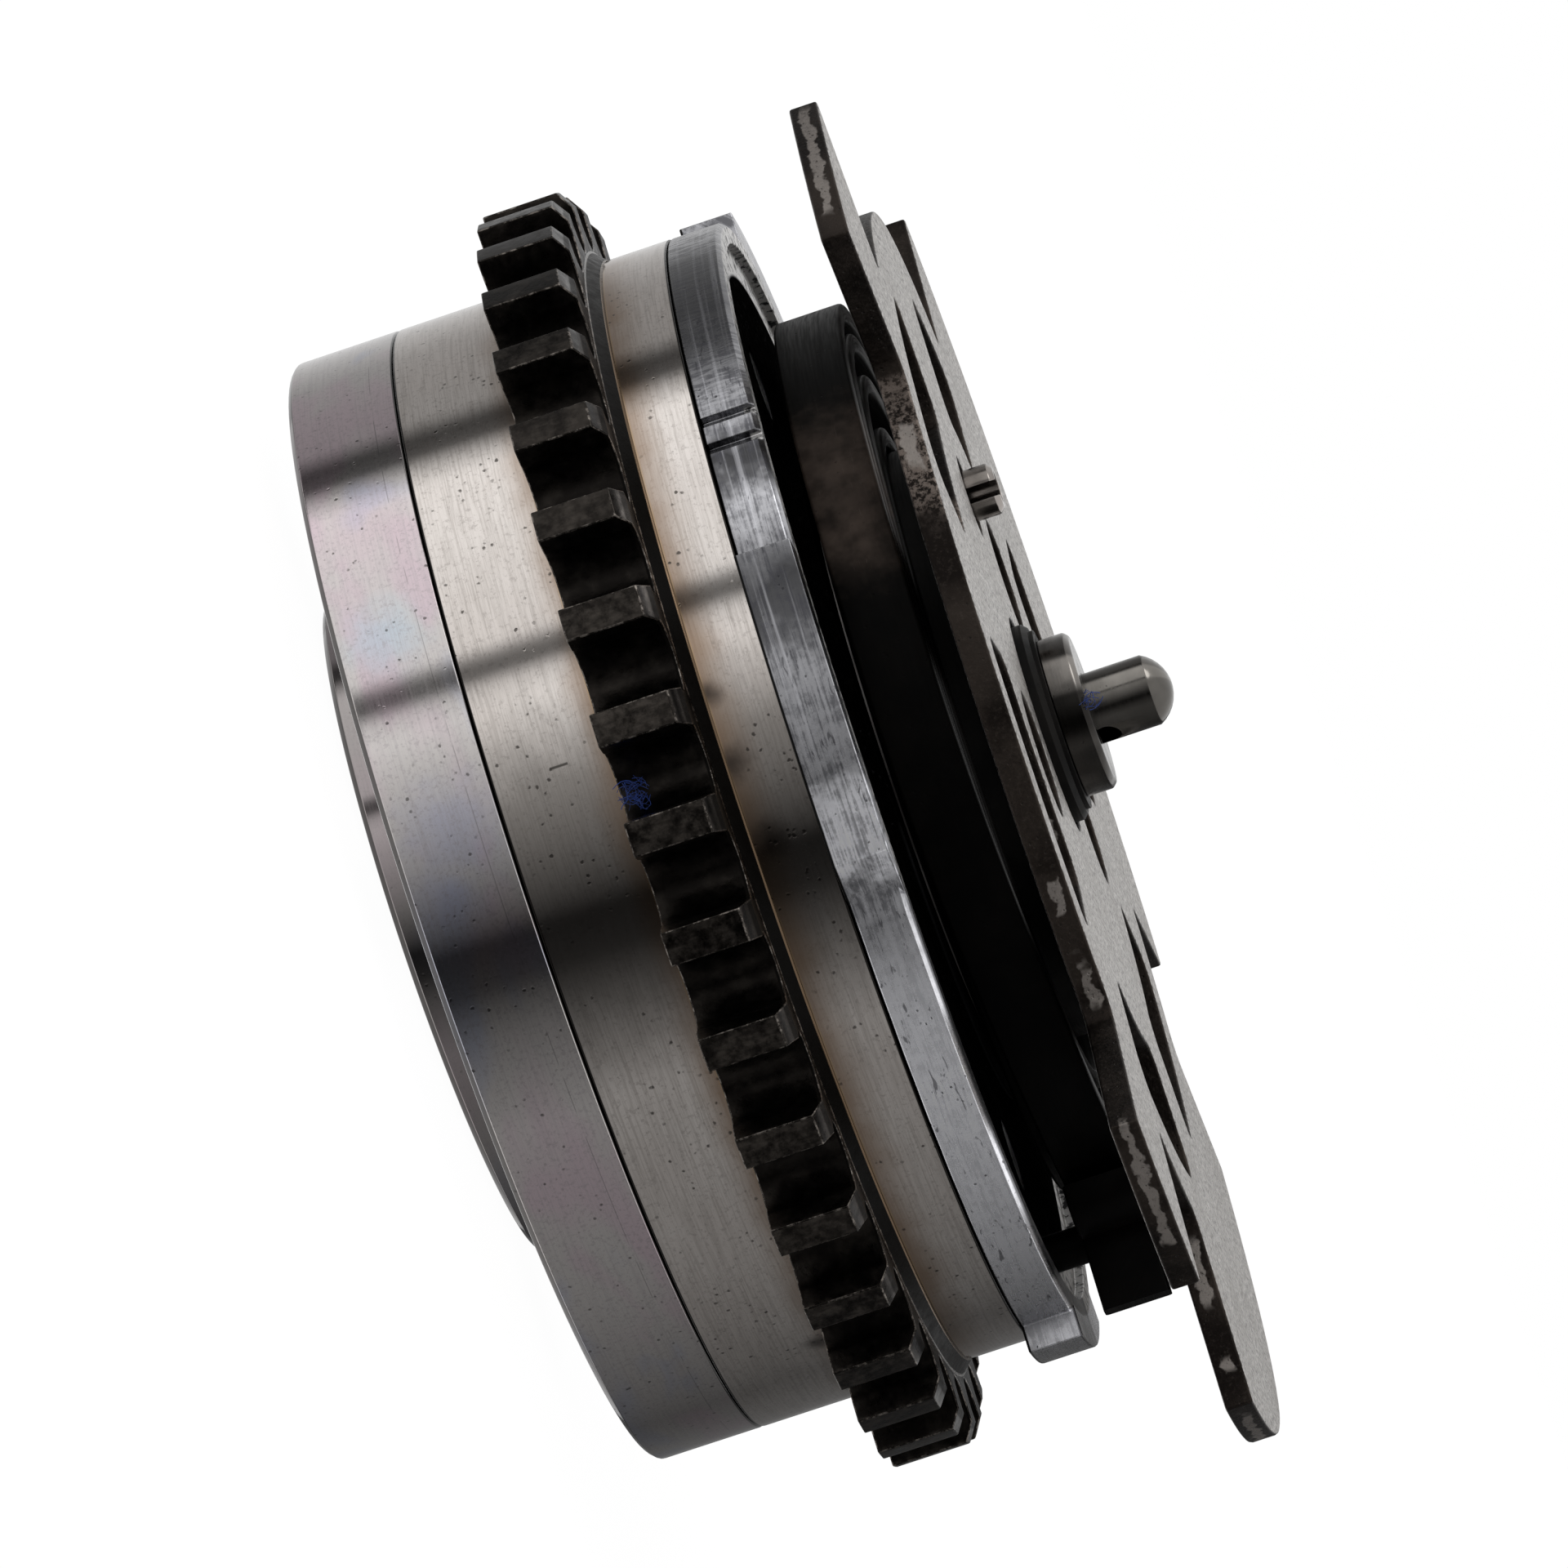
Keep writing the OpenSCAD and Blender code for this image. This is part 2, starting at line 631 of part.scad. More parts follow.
module rotor() {
    slot_in = bore_r - run_c - seal_h - leaf_room;
    z0 = z_stator + run_c;
    z1 = z_front - run_c;
    color([0.5, 0.49, 0.48]) difference() {
        union() {
            translate([0, 0, z0]) cylinder(r = hub_r, h = z_hub - z0);
            translate([0, 0, z0 - pad_h]) cylinder(r = pad_r, h = pad_h + cut);
            level(z0, z1) for (i = [0:vanes - 1]) difference() {
                sector(hub_r - 2, bore_r - run_c, vane_at(i) - vane_span(i) / 2,
                    vane_at(i) + vane_span(i) / 2);
                rotate(vane_at(i)) translate([slot_in, -seal_w / 2]) square([bore_r - slot_in + 1, seal_w]);
            }
        }
        hole(sleeve_r, z0 - pad_h, z_hub);
        for (a = bolt_at) drill(bolt_r, z0 - pad_h - cut, z_hub + cut, bolt_pcr, a);
        drill(cam_pin_r, z0 - pad_h - cut, z0 - pad_h + cam_pin_in, bolt_pcr, cam_pin_at);
        drill(dowel_r, z_hub - hub_pin_in, z_hub + cut, dowel_pcr, dowel_deg);
        drill(lock_r + run_c, lock_bore_floor, z1 + cut, lock_pcr, lock_at);
        for (i = [0:vanes - 1]) for (side = [-1, 1])
            translate([0, 0, z0 + stator_l * oil_rows[side < 0 ? 0 : 1]])
                rotate(vane_at(i) + side * (vane_span(i) / 2 + oil_deg)) rotate([0, 90, 0])
                    translate([0, 0, sleeve_r - 1])
                        cylinder(r = oil_r, h = hub_r - sleeve_r + 2, $fn = 24);
    }
}

module lock_seat() {
    color([0.4, 0.4, 0.42]) difference() {
        drill(lock_r, lock_bore_floor, lock_bore_floor + lock_seat_h, lock_pcr, lock_at);
        drill(1, lock_bore_floor - 1, lock_bore_floor + 2, lock_pcr, lock_at);
    }
}

module lock_pin() {
    color([0.55, 0.55, 0.57]) translate([lock_pcr * cos(lock_at), lock_pcr * sin(lock_at), 0])
        rotate_extrude() polygon([[0, z_lock_roof], [lock_r - lock_wall, z_lock_roof],
            [lock_r - lock_wall, z_lock], [lock_r, z_lock], [lock_r, z_lock + lock_l - edge_c],
            [lock_r - edge_c, z_lock + lock_l], [0, z_lock + lock_l]]);
}

module lock_spring() {
    color([0.45, 0.45, 0.47]) translate([lock_pcr * cos(lock_at), lock_pcr * sin(lock_at), 0])
        coil(lock_r - lock_wall - lock_coil_r - head_c, lock_coil_r, lock_bore_floor + lock_seat_h + coil_c,
            z_lock_roof - coil_c, 7);
}

module spring_hub() {
    color([0.16, 0.16, 0.165]) difference() {
        union() {
            turned(flange_r, z_hub, z_hub + flange_t, edge_c, 0);
            turned(spool_hub_r, z_hub, z_plate, 0, edge_c);
        }
        hole(sleeve_r, z_hub, z_plate);
        for (a = bolt_at) drill(pocket_r, z_hub - 1, z_plate + 1, bolt_pcr, a);
        drill(dowel_r, z_hub - 1, z_plate + 1, dowel_pcr, dowel_deg);
        level(z_spring - spring_seat, z_plate + 1) rotate(spring_a0)
            translate([spring_mean_in - hook_in - spring_gap, -spring_t / 2 - spring_gap])
                square([hook_in + 2, spring_t + 2 * spring_gap]);
    }
}

// Fillet in the corner between a tab's side and the plate's rim. Its arc cuts both by a hair.
module tab_root(a, side) {
    c = tab_fillet;
    rc = plate_r + c - hair;
    turn = asin((c - hair) / rc);
    reach = rc * cos(turn);
    rotate(a) mirror([0, side < 0 ? 1 : 0]) difference() {
        polygon([[plate_r - 1, -0.5], [reach, -0.5], [reach, 0], polar(rc, turn), polar(plate_r - 1, turn)]);
        translate(polar(rc, turn)) circle(c, $fn = 32);
    }
}

module trigger_plate() {
    color([0.3, 0.285, 0.27]) level(z_plate, z_plate_top) difference() {
        union() {
            circle(plate_r, $fn = 160);
            for (k = [0:3]) {
                sector(plate_r - tab_fillet, tab_r, tab_ends[k] - tab_spans[k], tab_ends[k]);
                tab_root(tab_ends[k], 1);
                tab_root(tab_ends[k] - tab_spans[k], -1);
            }
        }
        circle(plate_bore_r);
        for (k = [0, 1, 3, 4, 5])
            round_sector(window_in, window_out, window_phase + 60 * k - window_deg / 2,
                window_phase + 60 * k + window_deg / 2, window_c);
        round_sector(window_in, window_out, short_window_mid - short_window_deg / 2,
            short_window_mid + short_window_deg / 2, window_c);
        for (a = bolt_at) translate(polar(bolt_pcr, a)) circle(pocket_r, $fn = 48);
        translate(polar(dowel_pcr, dowel_deg)) circle(dowel_hole_r, $fn = 32);
    }
}

module plate_dowel() {
    foot = z_hub - hub_pin_in + sink;
    top = z_plate_top + dowel_up;
    color([0.35, 0.34, 0.34]) translate([dowel_pcr * cos(dowel_deg), dowel_pcr * sin(dowel_deg), 0])
        difference() {
            turned(dowel_r, foot, top, edge_c, edge_c);
            hole(dowel_r - roll_t, foot, top);
            level(foot - cut, top + cut) rotate(slit_deg) translate([0, -slit_w / 2])
                square([2 * dowel_r, slit_w]);
        }
}

module valve_sleeve() {
    color([0.1, 0.1, 0.105]) difference() {
        turned(sleeve_r, z_sleeve_foot, z_sleeve, edge_c, edge_c);
        hole(spool_r + run_c, z_sleeve_foot, z_sleeve);
        translate([0, 0, z_sleeve - spigot_h]) cylinder(r = spigot_r, h = spigot_h + cut);
        for (share = oil_rows) for (i = [0:vanes - 1])
            translate([0, 0, z_stator + run_c + stator_l * share]) rotate(vane_at(i) + port_deg)
                rotate([0, 90, 0]) cylinder(r = oil_r, h = sleeve_r + cut, $fn = 24);
    }
}

module valve_plug() {
    color([0.4, 0.4, 0.42]) difference() {
        translate([0, 0, z_sleeve_foot]) cylinder(r = spool_r + run_c, h = plug_h);
        hole(spool_r / 2, z_sleeve_foot, z_sleeve_foot + plug_h);
    }
}

module retaining_ring() {
    color([0.3, 0.3, 0.31]) difference() {
        translate([0, 0, z_sleeve]) cylinder(r = ring_r, h = ring_t);
        hole(spigot_r, z_sleeve, z_ring);
    }
}

module valve_cap() {
    bore = pin_r + nose_c;
    color([0.55, 0.54, 0.54]) rotate_extrude() polygon([[bore, z_sleeve - spigot_h],
        [spigot_r, z_sleeve - spigot_h], [spigot_r, z_ring], [cap_r, z_ring], [cap_r, z_cap - edge_c],
        [cap_r - edge_c, z_cap], [bore, z_cap]]);
}

module spool_spring() {
    color([0.45, 0.45, 0.47])
        coil(spool_r - land_d, spool_coil_r, z_spool_spring, z_spool_foot - coil_c, spool_coils);
}

// Spool with two control lands, and the plunger pin as its nose
module spool() {
    land = spool_l / 5;
    neck = spool_r - land_d;
    dome = z_pin - dome_h;
    arc_r = (pin_r * pin_r + dome_h * dome_h) / (2 * dome_h);
    edge = asin(pin_r / arc_r);
    tip = asin(dome_flat / arc_r);
    nose = [for (k = [0:6]) let (a = edge + (tip - edge) * k / 6)
        [arc_r * sin(a), z_pin - arc_r + arc_r * cos(a)]];
    flat = [[0, z_pin - arc_r + arc_r * cos(tip)]];
    color([0.6, 0.59, 0.58]) difference() {
        rotate_extrude() polygon(concat([[0, z_spool_foot], [spool_r, z_spool_foot],
            [spool_r, z_spool_foot + land], [neck, z_spool_foot + land], [neck, z_spool_foot + 2 * land],
            [spool_r, z_spool_foot + 2 * land], [spool_r, z_spool_foot + 3 * land],
            [neck, z_spool_foot + 3 * land], [neck, z_spool_foot + 4 * land],
            [spool_r, z_spool_foot + 4 * land], [spool_r, z_spool_top], [pin_r, z_spool_top]], nose, flat));
        translate([0, 0, z_cap + cross_up]) rotate(cross_deg) rotate([0, 90, 0])
            translate([0, 0, -pin_r - 1]) cylinder(r = cross_r, h = 2 * pin_r + 2, $fn = 32);
    }
}

rear_cover();
stator();
front_cover();
cover_screws();
cover_dowels();
lock_bush();
lobe_seals();
lobe_seal_springs();
spring_post();
bias_spring();
rotor();
vane_seals();
vane_seal_springs();
lock_seat();
lock_spring();
lock_pin();
spring_hub();
trigger_plate();
plate_dowel();
valve_sleeve();
valve_plug();
retaining_ring();
valve_cap();
spool_spring();
spool();
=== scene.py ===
# %% [markdown]
# A vane-type cam phaser, dressed in Blender.
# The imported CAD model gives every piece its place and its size, in metres, with +Z along the drum's axis.
# This lesson rounds the edges that a machinist or a press tool would round, winds the spiral spring
# along its path with Geometry Nodes, and gives each metal the finish that it has in a used engine part.
# Two helpers come first: add() puts a new piece into the scene, and cad_copy() copies a CAD node's mesh
# and merges the doubled points of its triangles, so that the CAD node keeps its own shape. Where a flat
# angle is given, triangles that lie in one plane become one face.

# %% Load the CAD frame
import math
import bmesh
import bpy
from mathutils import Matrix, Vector


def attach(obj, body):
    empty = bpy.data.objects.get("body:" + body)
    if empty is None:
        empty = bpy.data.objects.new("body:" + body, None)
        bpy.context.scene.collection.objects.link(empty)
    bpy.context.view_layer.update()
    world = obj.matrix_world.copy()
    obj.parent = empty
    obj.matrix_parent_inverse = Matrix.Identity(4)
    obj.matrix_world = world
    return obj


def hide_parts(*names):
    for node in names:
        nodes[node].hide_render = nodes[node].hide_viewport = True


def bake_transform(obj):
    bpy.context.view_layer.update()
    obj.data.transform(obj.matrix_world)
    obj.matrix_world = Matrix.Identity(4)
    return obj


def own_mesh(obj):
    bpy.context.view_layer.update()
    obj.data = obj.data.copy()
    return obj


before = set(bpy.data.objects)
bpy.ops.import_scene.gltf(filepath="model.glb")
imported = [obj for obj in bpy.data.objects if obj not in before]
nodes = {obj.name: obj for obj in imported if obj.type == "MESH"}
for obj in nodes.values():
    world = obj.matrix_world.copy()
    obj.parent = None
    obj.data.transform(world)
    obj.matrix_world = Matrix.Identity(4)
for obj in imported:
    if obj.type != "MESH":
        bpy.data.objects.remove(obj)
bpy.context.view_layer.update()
MM = 0.001
WELD = 2e-7


def add(name, data):
    piece = bpy.data.objects.new(name, data)
    bpy.context.scene.collection.objects.link(piece)
    return piece


def cad_copy(node, name, finishes, flat_angle=None):
    mesh = nodes[node].data.copy()
    mesh.name = name
    mesh.materials.clear()
    for finish in finishes:
        mesh.materials.append(finish)
    work = bmesh.new()
    work.from_mesh(mesh)
    bmesh.ops.remove_doubles(work, verts=work.verts, dist=WELD)
    if flat_angle:
        bmesh.ops.dissolve_limit(work, angle_limit=flat_angle, verts=work.verts, edges=work.edges)
    work.to_mesh(mesh)
    work.free()
    return mesh


# %% [markdown]
# A finish is a small tree of shader nodes. Writing every link by hand hides the idea, so this helper
# gives each kind of node one short method. Positions are Object coordinates turned into millimetres,
# which lets every grain, pit and tint be stated at its true size. Places round the drum are angles from
# its top edge in the photo (from_top), and a span or a band says where a tint begins and ends.

# %% A helper that writes finishes
class Finish:
    def __init__(self, name, metallic=1.0, gleam=0.5):
        self.mat = bpy.data.materials.new(name)
        self.mat.use_nodes = True
        self.tree = self.mat.node_tree
        self.tree.nodes.clear()
        self.bsdf = self.tree.nodes.new("ShaderNodeBsdfPrincipled")
        out = self.tree.nodes.new("ShaderNodeOutputMaterial")
        self.tree.links.new(self.bsdf.outputs["BSDF"], out.inputs["Surface"])
        self.bsdf.inputs["Metallic"].default_value = metallic
        self.bsdf.inputs["Specular IOR Level"].default_value = gleam
        coord = self.tree.nodes.new("ShaderNodeTexCoord")
        self.pos = self.vec("SCALE", coord.outputs["Object"], scale=1000.0)
        split = self.tree.nodes.new("ShaderNodeSeparateXYZ")
        self.put(split.inputs[0], self.pos)
        self.x, self.y, self.z = split.outputs
        self.r = self.math("SQRT", self.math("ADD", self.times(self.x, self.x), self.times(self.y, self.y)))

    def put(self, socket, value):
        if hasattr(value, "is_output"):
            self.tree.links.new(value, socket)
        else:
            socket.default_value = value

    def math(self, op, a, b=0.0):
        n = self.tree.nodes.new("ShaderNodeMath")
        n.operation = op
        self.put(n.inputs[0], a)
        self.put(n.inputs[1], b)
        return n.outputs[0]

    def vec(self, op, a, b=(0, 0, 0), scale=None):
        n = self.tree.nodes.new("ShaderNodeVectorMath")
        n.operation = op
        self.put(n.inputs[0], a)
        self.put(n.inputs[1], b)
        if scale is not None:
            n.inputs["Scale"].default_value = scale
        return n.outputs["Value" if op in ("DISTANCE", "DOT_PRODUCT") else "Vector"]

    def join(self, x, y, z):
        n = self.tree.nodes.new("ShaderNodeCombineXYZ")
        for socket, value in zip(n.inputs, (x, y, z)):
            self.put(socket, value)
        return n.outputs[0]

    def noise(self, where, scale, detail=3.0, rough=0.55, warp=0.0):
        n = self.tree.nodes.new("ShaderNodeTexNoise")
        self.put(n.inputs["Vector"], where)
        settings = {"Scale": scale, "Detail": detail, "Roughness": rough, "Distortion": warp}
        for key, value in settings.items():
            n.inputs[key].default_value = value
        return n.outputs["Fac"]

    def cells(self, where, scale):
        n = self.tree.nodes.new("ShaderNodeTexVoronoi")
        self.put(n.inputs["Vector"], where)
        n.inputs["Scale"].default_value = scale
        return n.outputs["Distance"]

    def span(self, value, low, high, to_low=0.0, to_high=1.0, kind="SMOOTHSTEP"):
        n = self.tree.nodes.new("ShaderNodeMapRange")
        n.interpolation_type = kind
        for socket, v in zip(n.inputs, (value, low, high, to_low, to_high)):
            self.put(socket, v)
        return n.outputs[0]

    def band(self, value, a, b, soft):
        up = self.span(value, a - soft, a + soft)
        down = self.span(value, b - soft, b + soft, 1.0, 0.0)
        return self.times(up, down)

    def rest(self, value):
        return self.math("SUBTRACT", 1.0, value)

    def times(self, *values):
        out = values[0]
        for v in values[1:]:
            out = self.math("MULTIPLY", out, v)
        return out

    def most(self, *values):
        out = values[0]
        for v in values[1:]:
            out = self.math("MAXIMUM", out, v)
        return out

    def mix(self, share, a, b, kind="MIX"):
        n = self.tree.nodes.new("ShaderNodeMix")
        n.data_type, n.blend_type = "RGBA", kind
        self.put(n.inputs[0], share)
        for socket, value in ((n.inputs[6], a), (n.inputs[7], b)):
            self.put(socket, (*value, 1.0) if isinstance(value, tuple) else value)
        return n.outputs[2]

    def stops(self, share, painted_light, tint=(0.985, 0.985, 1.03)):
        n = self.tree.nodes.new("ShaderNodeValToRGB")
        marks = n.color_ramp.elements
        while len(marks) < len(painted_light):
            marks.new(0.5)
        for mark, (degree, level) in zip(marks, painted_light):
            mark.position = (degree + 180) / 360
            mark.color = (*(level * t for t in tint), 1)
        self.put(n.inputs[0], share)
        return n.outputs[0]

    def bump(self, height, depth, strength, base=None):
        n = self.tree.nodes.new("ShaderNodeBump")
        n.inputs["Strength"].default_value = strength
        n.inputs["Distance"].default_value = depth * MM
        self.put(n.inputs["Height"], height)
        if base is not None:
            self.put(n.inputs["Normal"], base)
        return n.outputs[0]

    def edge(self, radius, low, high):
        bevel = self.tree.nodes.new("ShaderNodeBevel")
        bevel.samples = 6
        bevel.inputs["Radius"].default_value = radius * MM
        geo = self.tree.nodes.new("ShaderNodeNewGeometry")
        dot = self.vec("DOT_PRODUCT", bevel.outputs[0], geo.outputs["Normal"])
        return self.span(self.rest(dot), low, high)

    def near(self, phi, z, r, size, soft=0.5):
        a = math.radians(180 + phi)
        spot = (r * math.cos(a), r * math.sin(a), z)
        wobble = self.noise(self.pos, 0.6, 3.0)
        d = self.math("ADD", self.vec("DISTANCE", self.pos, spot), self.times(wobble, size))
        return self.span(d, size * (1.0 - soft), size * (1.0 + soft) + size * 0.4, 1.0, 0.0)

    def from_top(self, wander=0.0):
        turn = self.math("ARCTAN2", self.times(self.y, -1.0), self.times(self.x, -1.0))
        return self.math("ADD", self.times(turn, 180.0 / math.pi), self.waver(0.35, 3.0, wander))

    def waver(self, scale, detail, width):
        return self.times(self.math("SUBTRACT", self.noise(self.pos, scale, detail), 0.5), width)

    def stretch(self, flat, upright):
        return self.join(self.times(self.x, flat), self.times(self.y, flat), self.times(self.z, upright))

    def grain(self, along, across):
        turn = self.times(self.math("ADD", self.z, self.r), across)
        return self.join(self.times(self.x, along), self.times(self.y, along), turn)

    def pits(self, scale, size, share):
        ragged = self.math("ADD", self.cells(self.pos, scale), self.waver(scale * 2.4, 2.0, size * 2.2))
        holes = self.span(ragged, size * 0.3, size, 1.0, 0.0)
        patch = self.span(self.noise(self.pos, 0.35, 2.0), share, share + 0.12)
        return self.times(holes, patch)

    def finish(self, color, rough, normal, metal=None):
        self.put(self.bsdf.inputs["Base Color"], color)
        self.put(self.bsdf.inputs["Roughness"], rough)
        self.put(self.bsdf.inputs["Normal"], normal)
        if metal is not None:
            self.put(self.bsdf.inputs["Metallic"], metal)
        print("finish:", self.mat.name, len(self.tree.nodes), "nodes")
        return self.mat


# %% [markdown]
# The drum is ground steel. Grinding leaves fine lines that run round the axis, so the grain is a noise
# squeezed along the axis and stretched round it. Pores of the sintered metal show as small pits.
# The teeth were hardened, which left brown heat lines beside them and a dark scale on their flanks.

# %% Finish of the stator: ground bands, heat lines, dark teeth
Z_BOSS, Z_REAR, Z_TOOTH, Z_MID, Z_TOOTH_TOP, Z_FRONT = 3.6, 12.1, 21.0, 24.5, 27.9, 34.1
DRUM_R, ROOT_R, TIP_R = 44.5, 45.3, 50.7
JOINT_SHADE = (0.012, 0.011, 0.01)


def stator_finish():
    f = Finish("ground_sinter_steel", gleam=0.03)
    fine = f.noise(f.grain(0.16, 6.0), 1.0, 5.0, 0.7, 0.3)
    speck = f.noise(f.pos, 2.6, 4.0, 0.75)
    cloud = f.noise(f.pos, 0.09, 3.0)
    color = f.mix(f.span(cloud, 0.35, 0.68), (0.65, 0.60, 0.565), (0.71, 0.665, 0.63))
    color = f.mix(f.times(f.span(fine, 0.40, 0.68), 0.65), color, (0.42, 0.385, 0.355))
    color = f.mix(f.times(f.span(speck, 0.52, 0.66), 0.5), color, (0.34, 0.31, 0.29))
    # Painted reflection: a dark band round the whole drum, 77 to 105 degrees from the top, painted into the
    # colour.
    dark_reflection_band = f.band(f.from_top(8.0), 77.0, 105.0, 6.0)
    color = f.mix(f.times(dark_reflection_band, 0.6), color, (0.16, 0.145, 0.13))
    dash = f.times(f.band(f.z, 16.5, 17.9, 0.06), f.band(f.from_top(), 79.0, 79.25, 0.07))
    color = f.mix(f.times(dash, 0.85), color, (0.05, 0.045, 0.04))
    ragged_z = f.math("ADD", f.z, f.waver(0.16, 2.0, 2.4))
    behind = f.times(f.span(ragged_z, Z_TOOTH - 2.6, Z_TOOTH + 0.8), f.span(f.z, Z_MID + 0.1, Z_MID - 0.1))
    before = f.times(f.span(ragged_z, Z_TOOTH_TOP + 4.4, Z_TOOTH_TOP + 0.6),
                     f.span(f.z, Z_MID - 0.1, Z_MID + 0.1))
    color = f.mix(f.times(f.most(behind, before), 0.9), color, (0.26, 0.175, 0.115))
    gold = f.most(f.band(f.z, Z_TOOTH - 0.2, Z_TOOTH - 0.03, 0.06),
                  f.band(f.z, Z_TOOTH_TOP + 1.05, Z_TOOTH_TOP + 1.2, 0.07))
    color = f.mix(f.times(gold, 0.5), color, (0.42, 0.29, 0.16))
    spots = ((84, 29.4, 1.6), (92, 30.4, 1.6), (77, 29.2, 1.2), (150, 20.0, 1.2), (285, 29.6, 2.0))
    stain = f.most(*(f.near(phi, z, DRUM_R, size) for phi, z, size in spots))
    color = f.mix(f.times(stain, 0.8), color, (0.04, 0.034, 0.031))
    pit = f.pits(1.25, 0.22, 0.47)
    color = f.mix(f.times(pit, 0.85), color, (0.05, 0.045, 0.04))
    shoulder = f.band(f.z, Z_TOOTH_TOP - 0.3, Z_TOOTH_TOP + 0.98, 0.06)
    tooth = f.most(f.span(f.r, ROOT_R - 0.35, ROOT_R - 0.05), shoulder)
    crumb = f.noise(f.pos, 1.1, 4.0, 0.68)
    scar = f.noise(f.stretch(2.6, 0.5), 1.0, 3.0, 0.6)
    scale = f.span(f.noise(f.pos, 0.45, 3.0), 0.4, 0.7)
    dark = f.mix(scale, (0.012, 0.0105, 0.0095), (0.028, 0.0245, 0.0215))
    # Pale wear on the tooth lands. It is painted fainter where the angle from the top is under 55 to 85
    # degrees, as painted shade on the upper lands.
    land_wear_and_top_shade = f.times(f.span(f.r, TIP_R - 0.45, TIP_R - 0.1), f.span(crumb, 0.34, 0.68),
                   f.span(scar, 0.3, 0.6, 0.4, 1.0), f.span(f.from_top(), 55.0, 85.0, 0.45, 1.0))
    dark = f.mix(f.times(land_wear_and_top_shade, 0.2), dark, (0.27, 0.235, 0.205))
    dark = f.mix(shoulder, dark, (0.005, 0.0043, 0.0037))
    color = f.mix(tooth, color, dark)
    joint = f.most(f.span(f.z, Z_REAR + 0.2, Z_REAR + 0.12), f.span(f.z, Z_FRONT - 0.2, Z_FRONT - 0.12))
    color = f.mix(joint, color, JOINT_SHADE)
    ground = f.times(f.span(fine, 0.3, 0.8, 0.06, 0.13), f.rest(tooth))
    rough = f.math("ADD", ground, f.times(tooth, f.span(crumb, 0.3, 0.7, 0.26, 0.42)))
    lines = f.bump(fine, 0.0010, 0.45)
    lines = f.bump(f.times(crumb, tooth), 0.05, 0.6, lines)
    lines = f.bump(f.rest(pit), 0.008, 0.7, lines)
    return f.finish(color, rough, lines, f.rest(shoulder))


def tooth_edge_finish():
    f = Finish("worn_and_highlit_edge_steel")
    crumb = f.noise(f.pos, 1.6, 4.0, 0.7)
    tooth = f.span(f.r, ROOT_R - 0.35, ROOT_R - 0.05)
    # The pale tone on the rounded tooth edges is partly wear and partly a painted highlight for their thin
    # bright lines.
    wear_and_highlight = f.mix(f.span(crumb, 0.44, 0.66), (0.02, 0.0175, 0.0155), (0.18, 0.16, 0.143))
    shoulder = f.band(f.z, Z_TOOTH - 1.0, Z_TOOTH_TOP + 3.0, 0.5)
    color = f.mix(tooth, f.mix(shoulder, JOINT_SHADE, (0.12, 0.082, 0.052)), wear_and_highlight)
    return f.finish(color, f.span(crumb, 0.3, 0.7, 0.2, 0.36), f.bump(crumb, 0.02, 0.5))


tooth_edge = tooth_edge_finish()
stator_steel = stator_finish()

# %% [markdown]
# The rear cover is turned more finely than the stator, so its reflections are crisp. Heat and oil
# have left a thin film on it that shifts between pink and pale blue in broad soft patches.

# %% Finish of the rear cover
def rear_cover_finish():
    f = Finish("turned_steel_with_film")
    fine = f.noise(f.grain(0.10, 7.0), 1.0, 4.0, 0.6)
    film = f.noise(f.stretch(0.07, 0.14), 1.0, 2.0, 0.5, 0.4)
    color = f.mix(f.span(film, 0.36, 0.5), (0.60, 0.50, 0.535), (0.585, 0.555, 0.54))
    color = f.mix(f.span(film, 0.53, 0.66), color, (0.49, 0.50, 0.575))
    glow = f.near(61, 7.6, DRUM_R, 3.2)
    color = f.mix(f.times(glow, 0.7), color, (0.49, 0.58, 0.66))
    blush = f.most(f.near(48, 8.0, DRUM_R, 4.5), f.near(93, 9.0, DRUM_R, 3.5))
    color = f.mix(f.times(blush, 0.5), color, (0.62, 0.47, 0.53))
    blue = f.most(f.near(82, 8.4, DRUM_R, 4.5), f.near(88, 6.4, DRUM_R, 3.5))
    color = f.mix(f.times(blue, 0.6), color, (0.43, 0.44, 0.57))
    grit = f.noise(f.pos, 3.2, 3.0, 0.7)
    color = f.mix(f.times(f.span(grit, 0.5, 0.66), 0.4), color, (0.33, 0.30, 0.31))
    color = f.mix(f.times(f.span(fine, 0.42, 0.7), 0.35), color, (0.40, 0.37, 0.38))
    pit = f.pits(1.2, 0.19, 0.44)
    color = f.mix(f.times(pit, 0.75), color, (0.07, 0.065, 0.06))
    scratch = f.times(f.band(f.z, 10.17, 10.23, 0.03), f.span(f.noise(f.pos, 0.25, 2.0), 0.42, 0.5))
    color = f.mix(f.times(scratch, 0.6), color, (0.2, 0.19, 0.19))
    color = f.mix(f.span(f.z, Z_REAR - 0.24, Z_REAR - 0.16), color, JOINT_SHADE)
    boss = f.span(f.z, Z_BOSS + 0.02, Z_BOSS - 0.04)
    color = f.mix(f.times(boss, 0.75), color, (0.24, 0.22, 0.215))
    boss_corner = f.span(f.z, 0.46, 0.38)
    drum_corner = f.times(f.span(f.r, DRUM_R - 0.45, DRUM_R - 0.38),
                          f.span(f.z, Z_BOSS + 0.46, Z_BOSS + 0.38))
    corner = f.most(boss_corner, drum_corner)
    color = f.mix(f.times(corner, 0.9), color, (0.055, 0.052, 0.05))
    rough = f.span(fine, 0.3, 0.8, 0.06, 0.13)
    lines = f.bump(fine, 0.001, 0.45)
    lines = f.bump(f.rest(pit), 0.008, 0.7, lines)
    return f.finish(color, rough, lines)


cover_steel = rear_cover_finish()
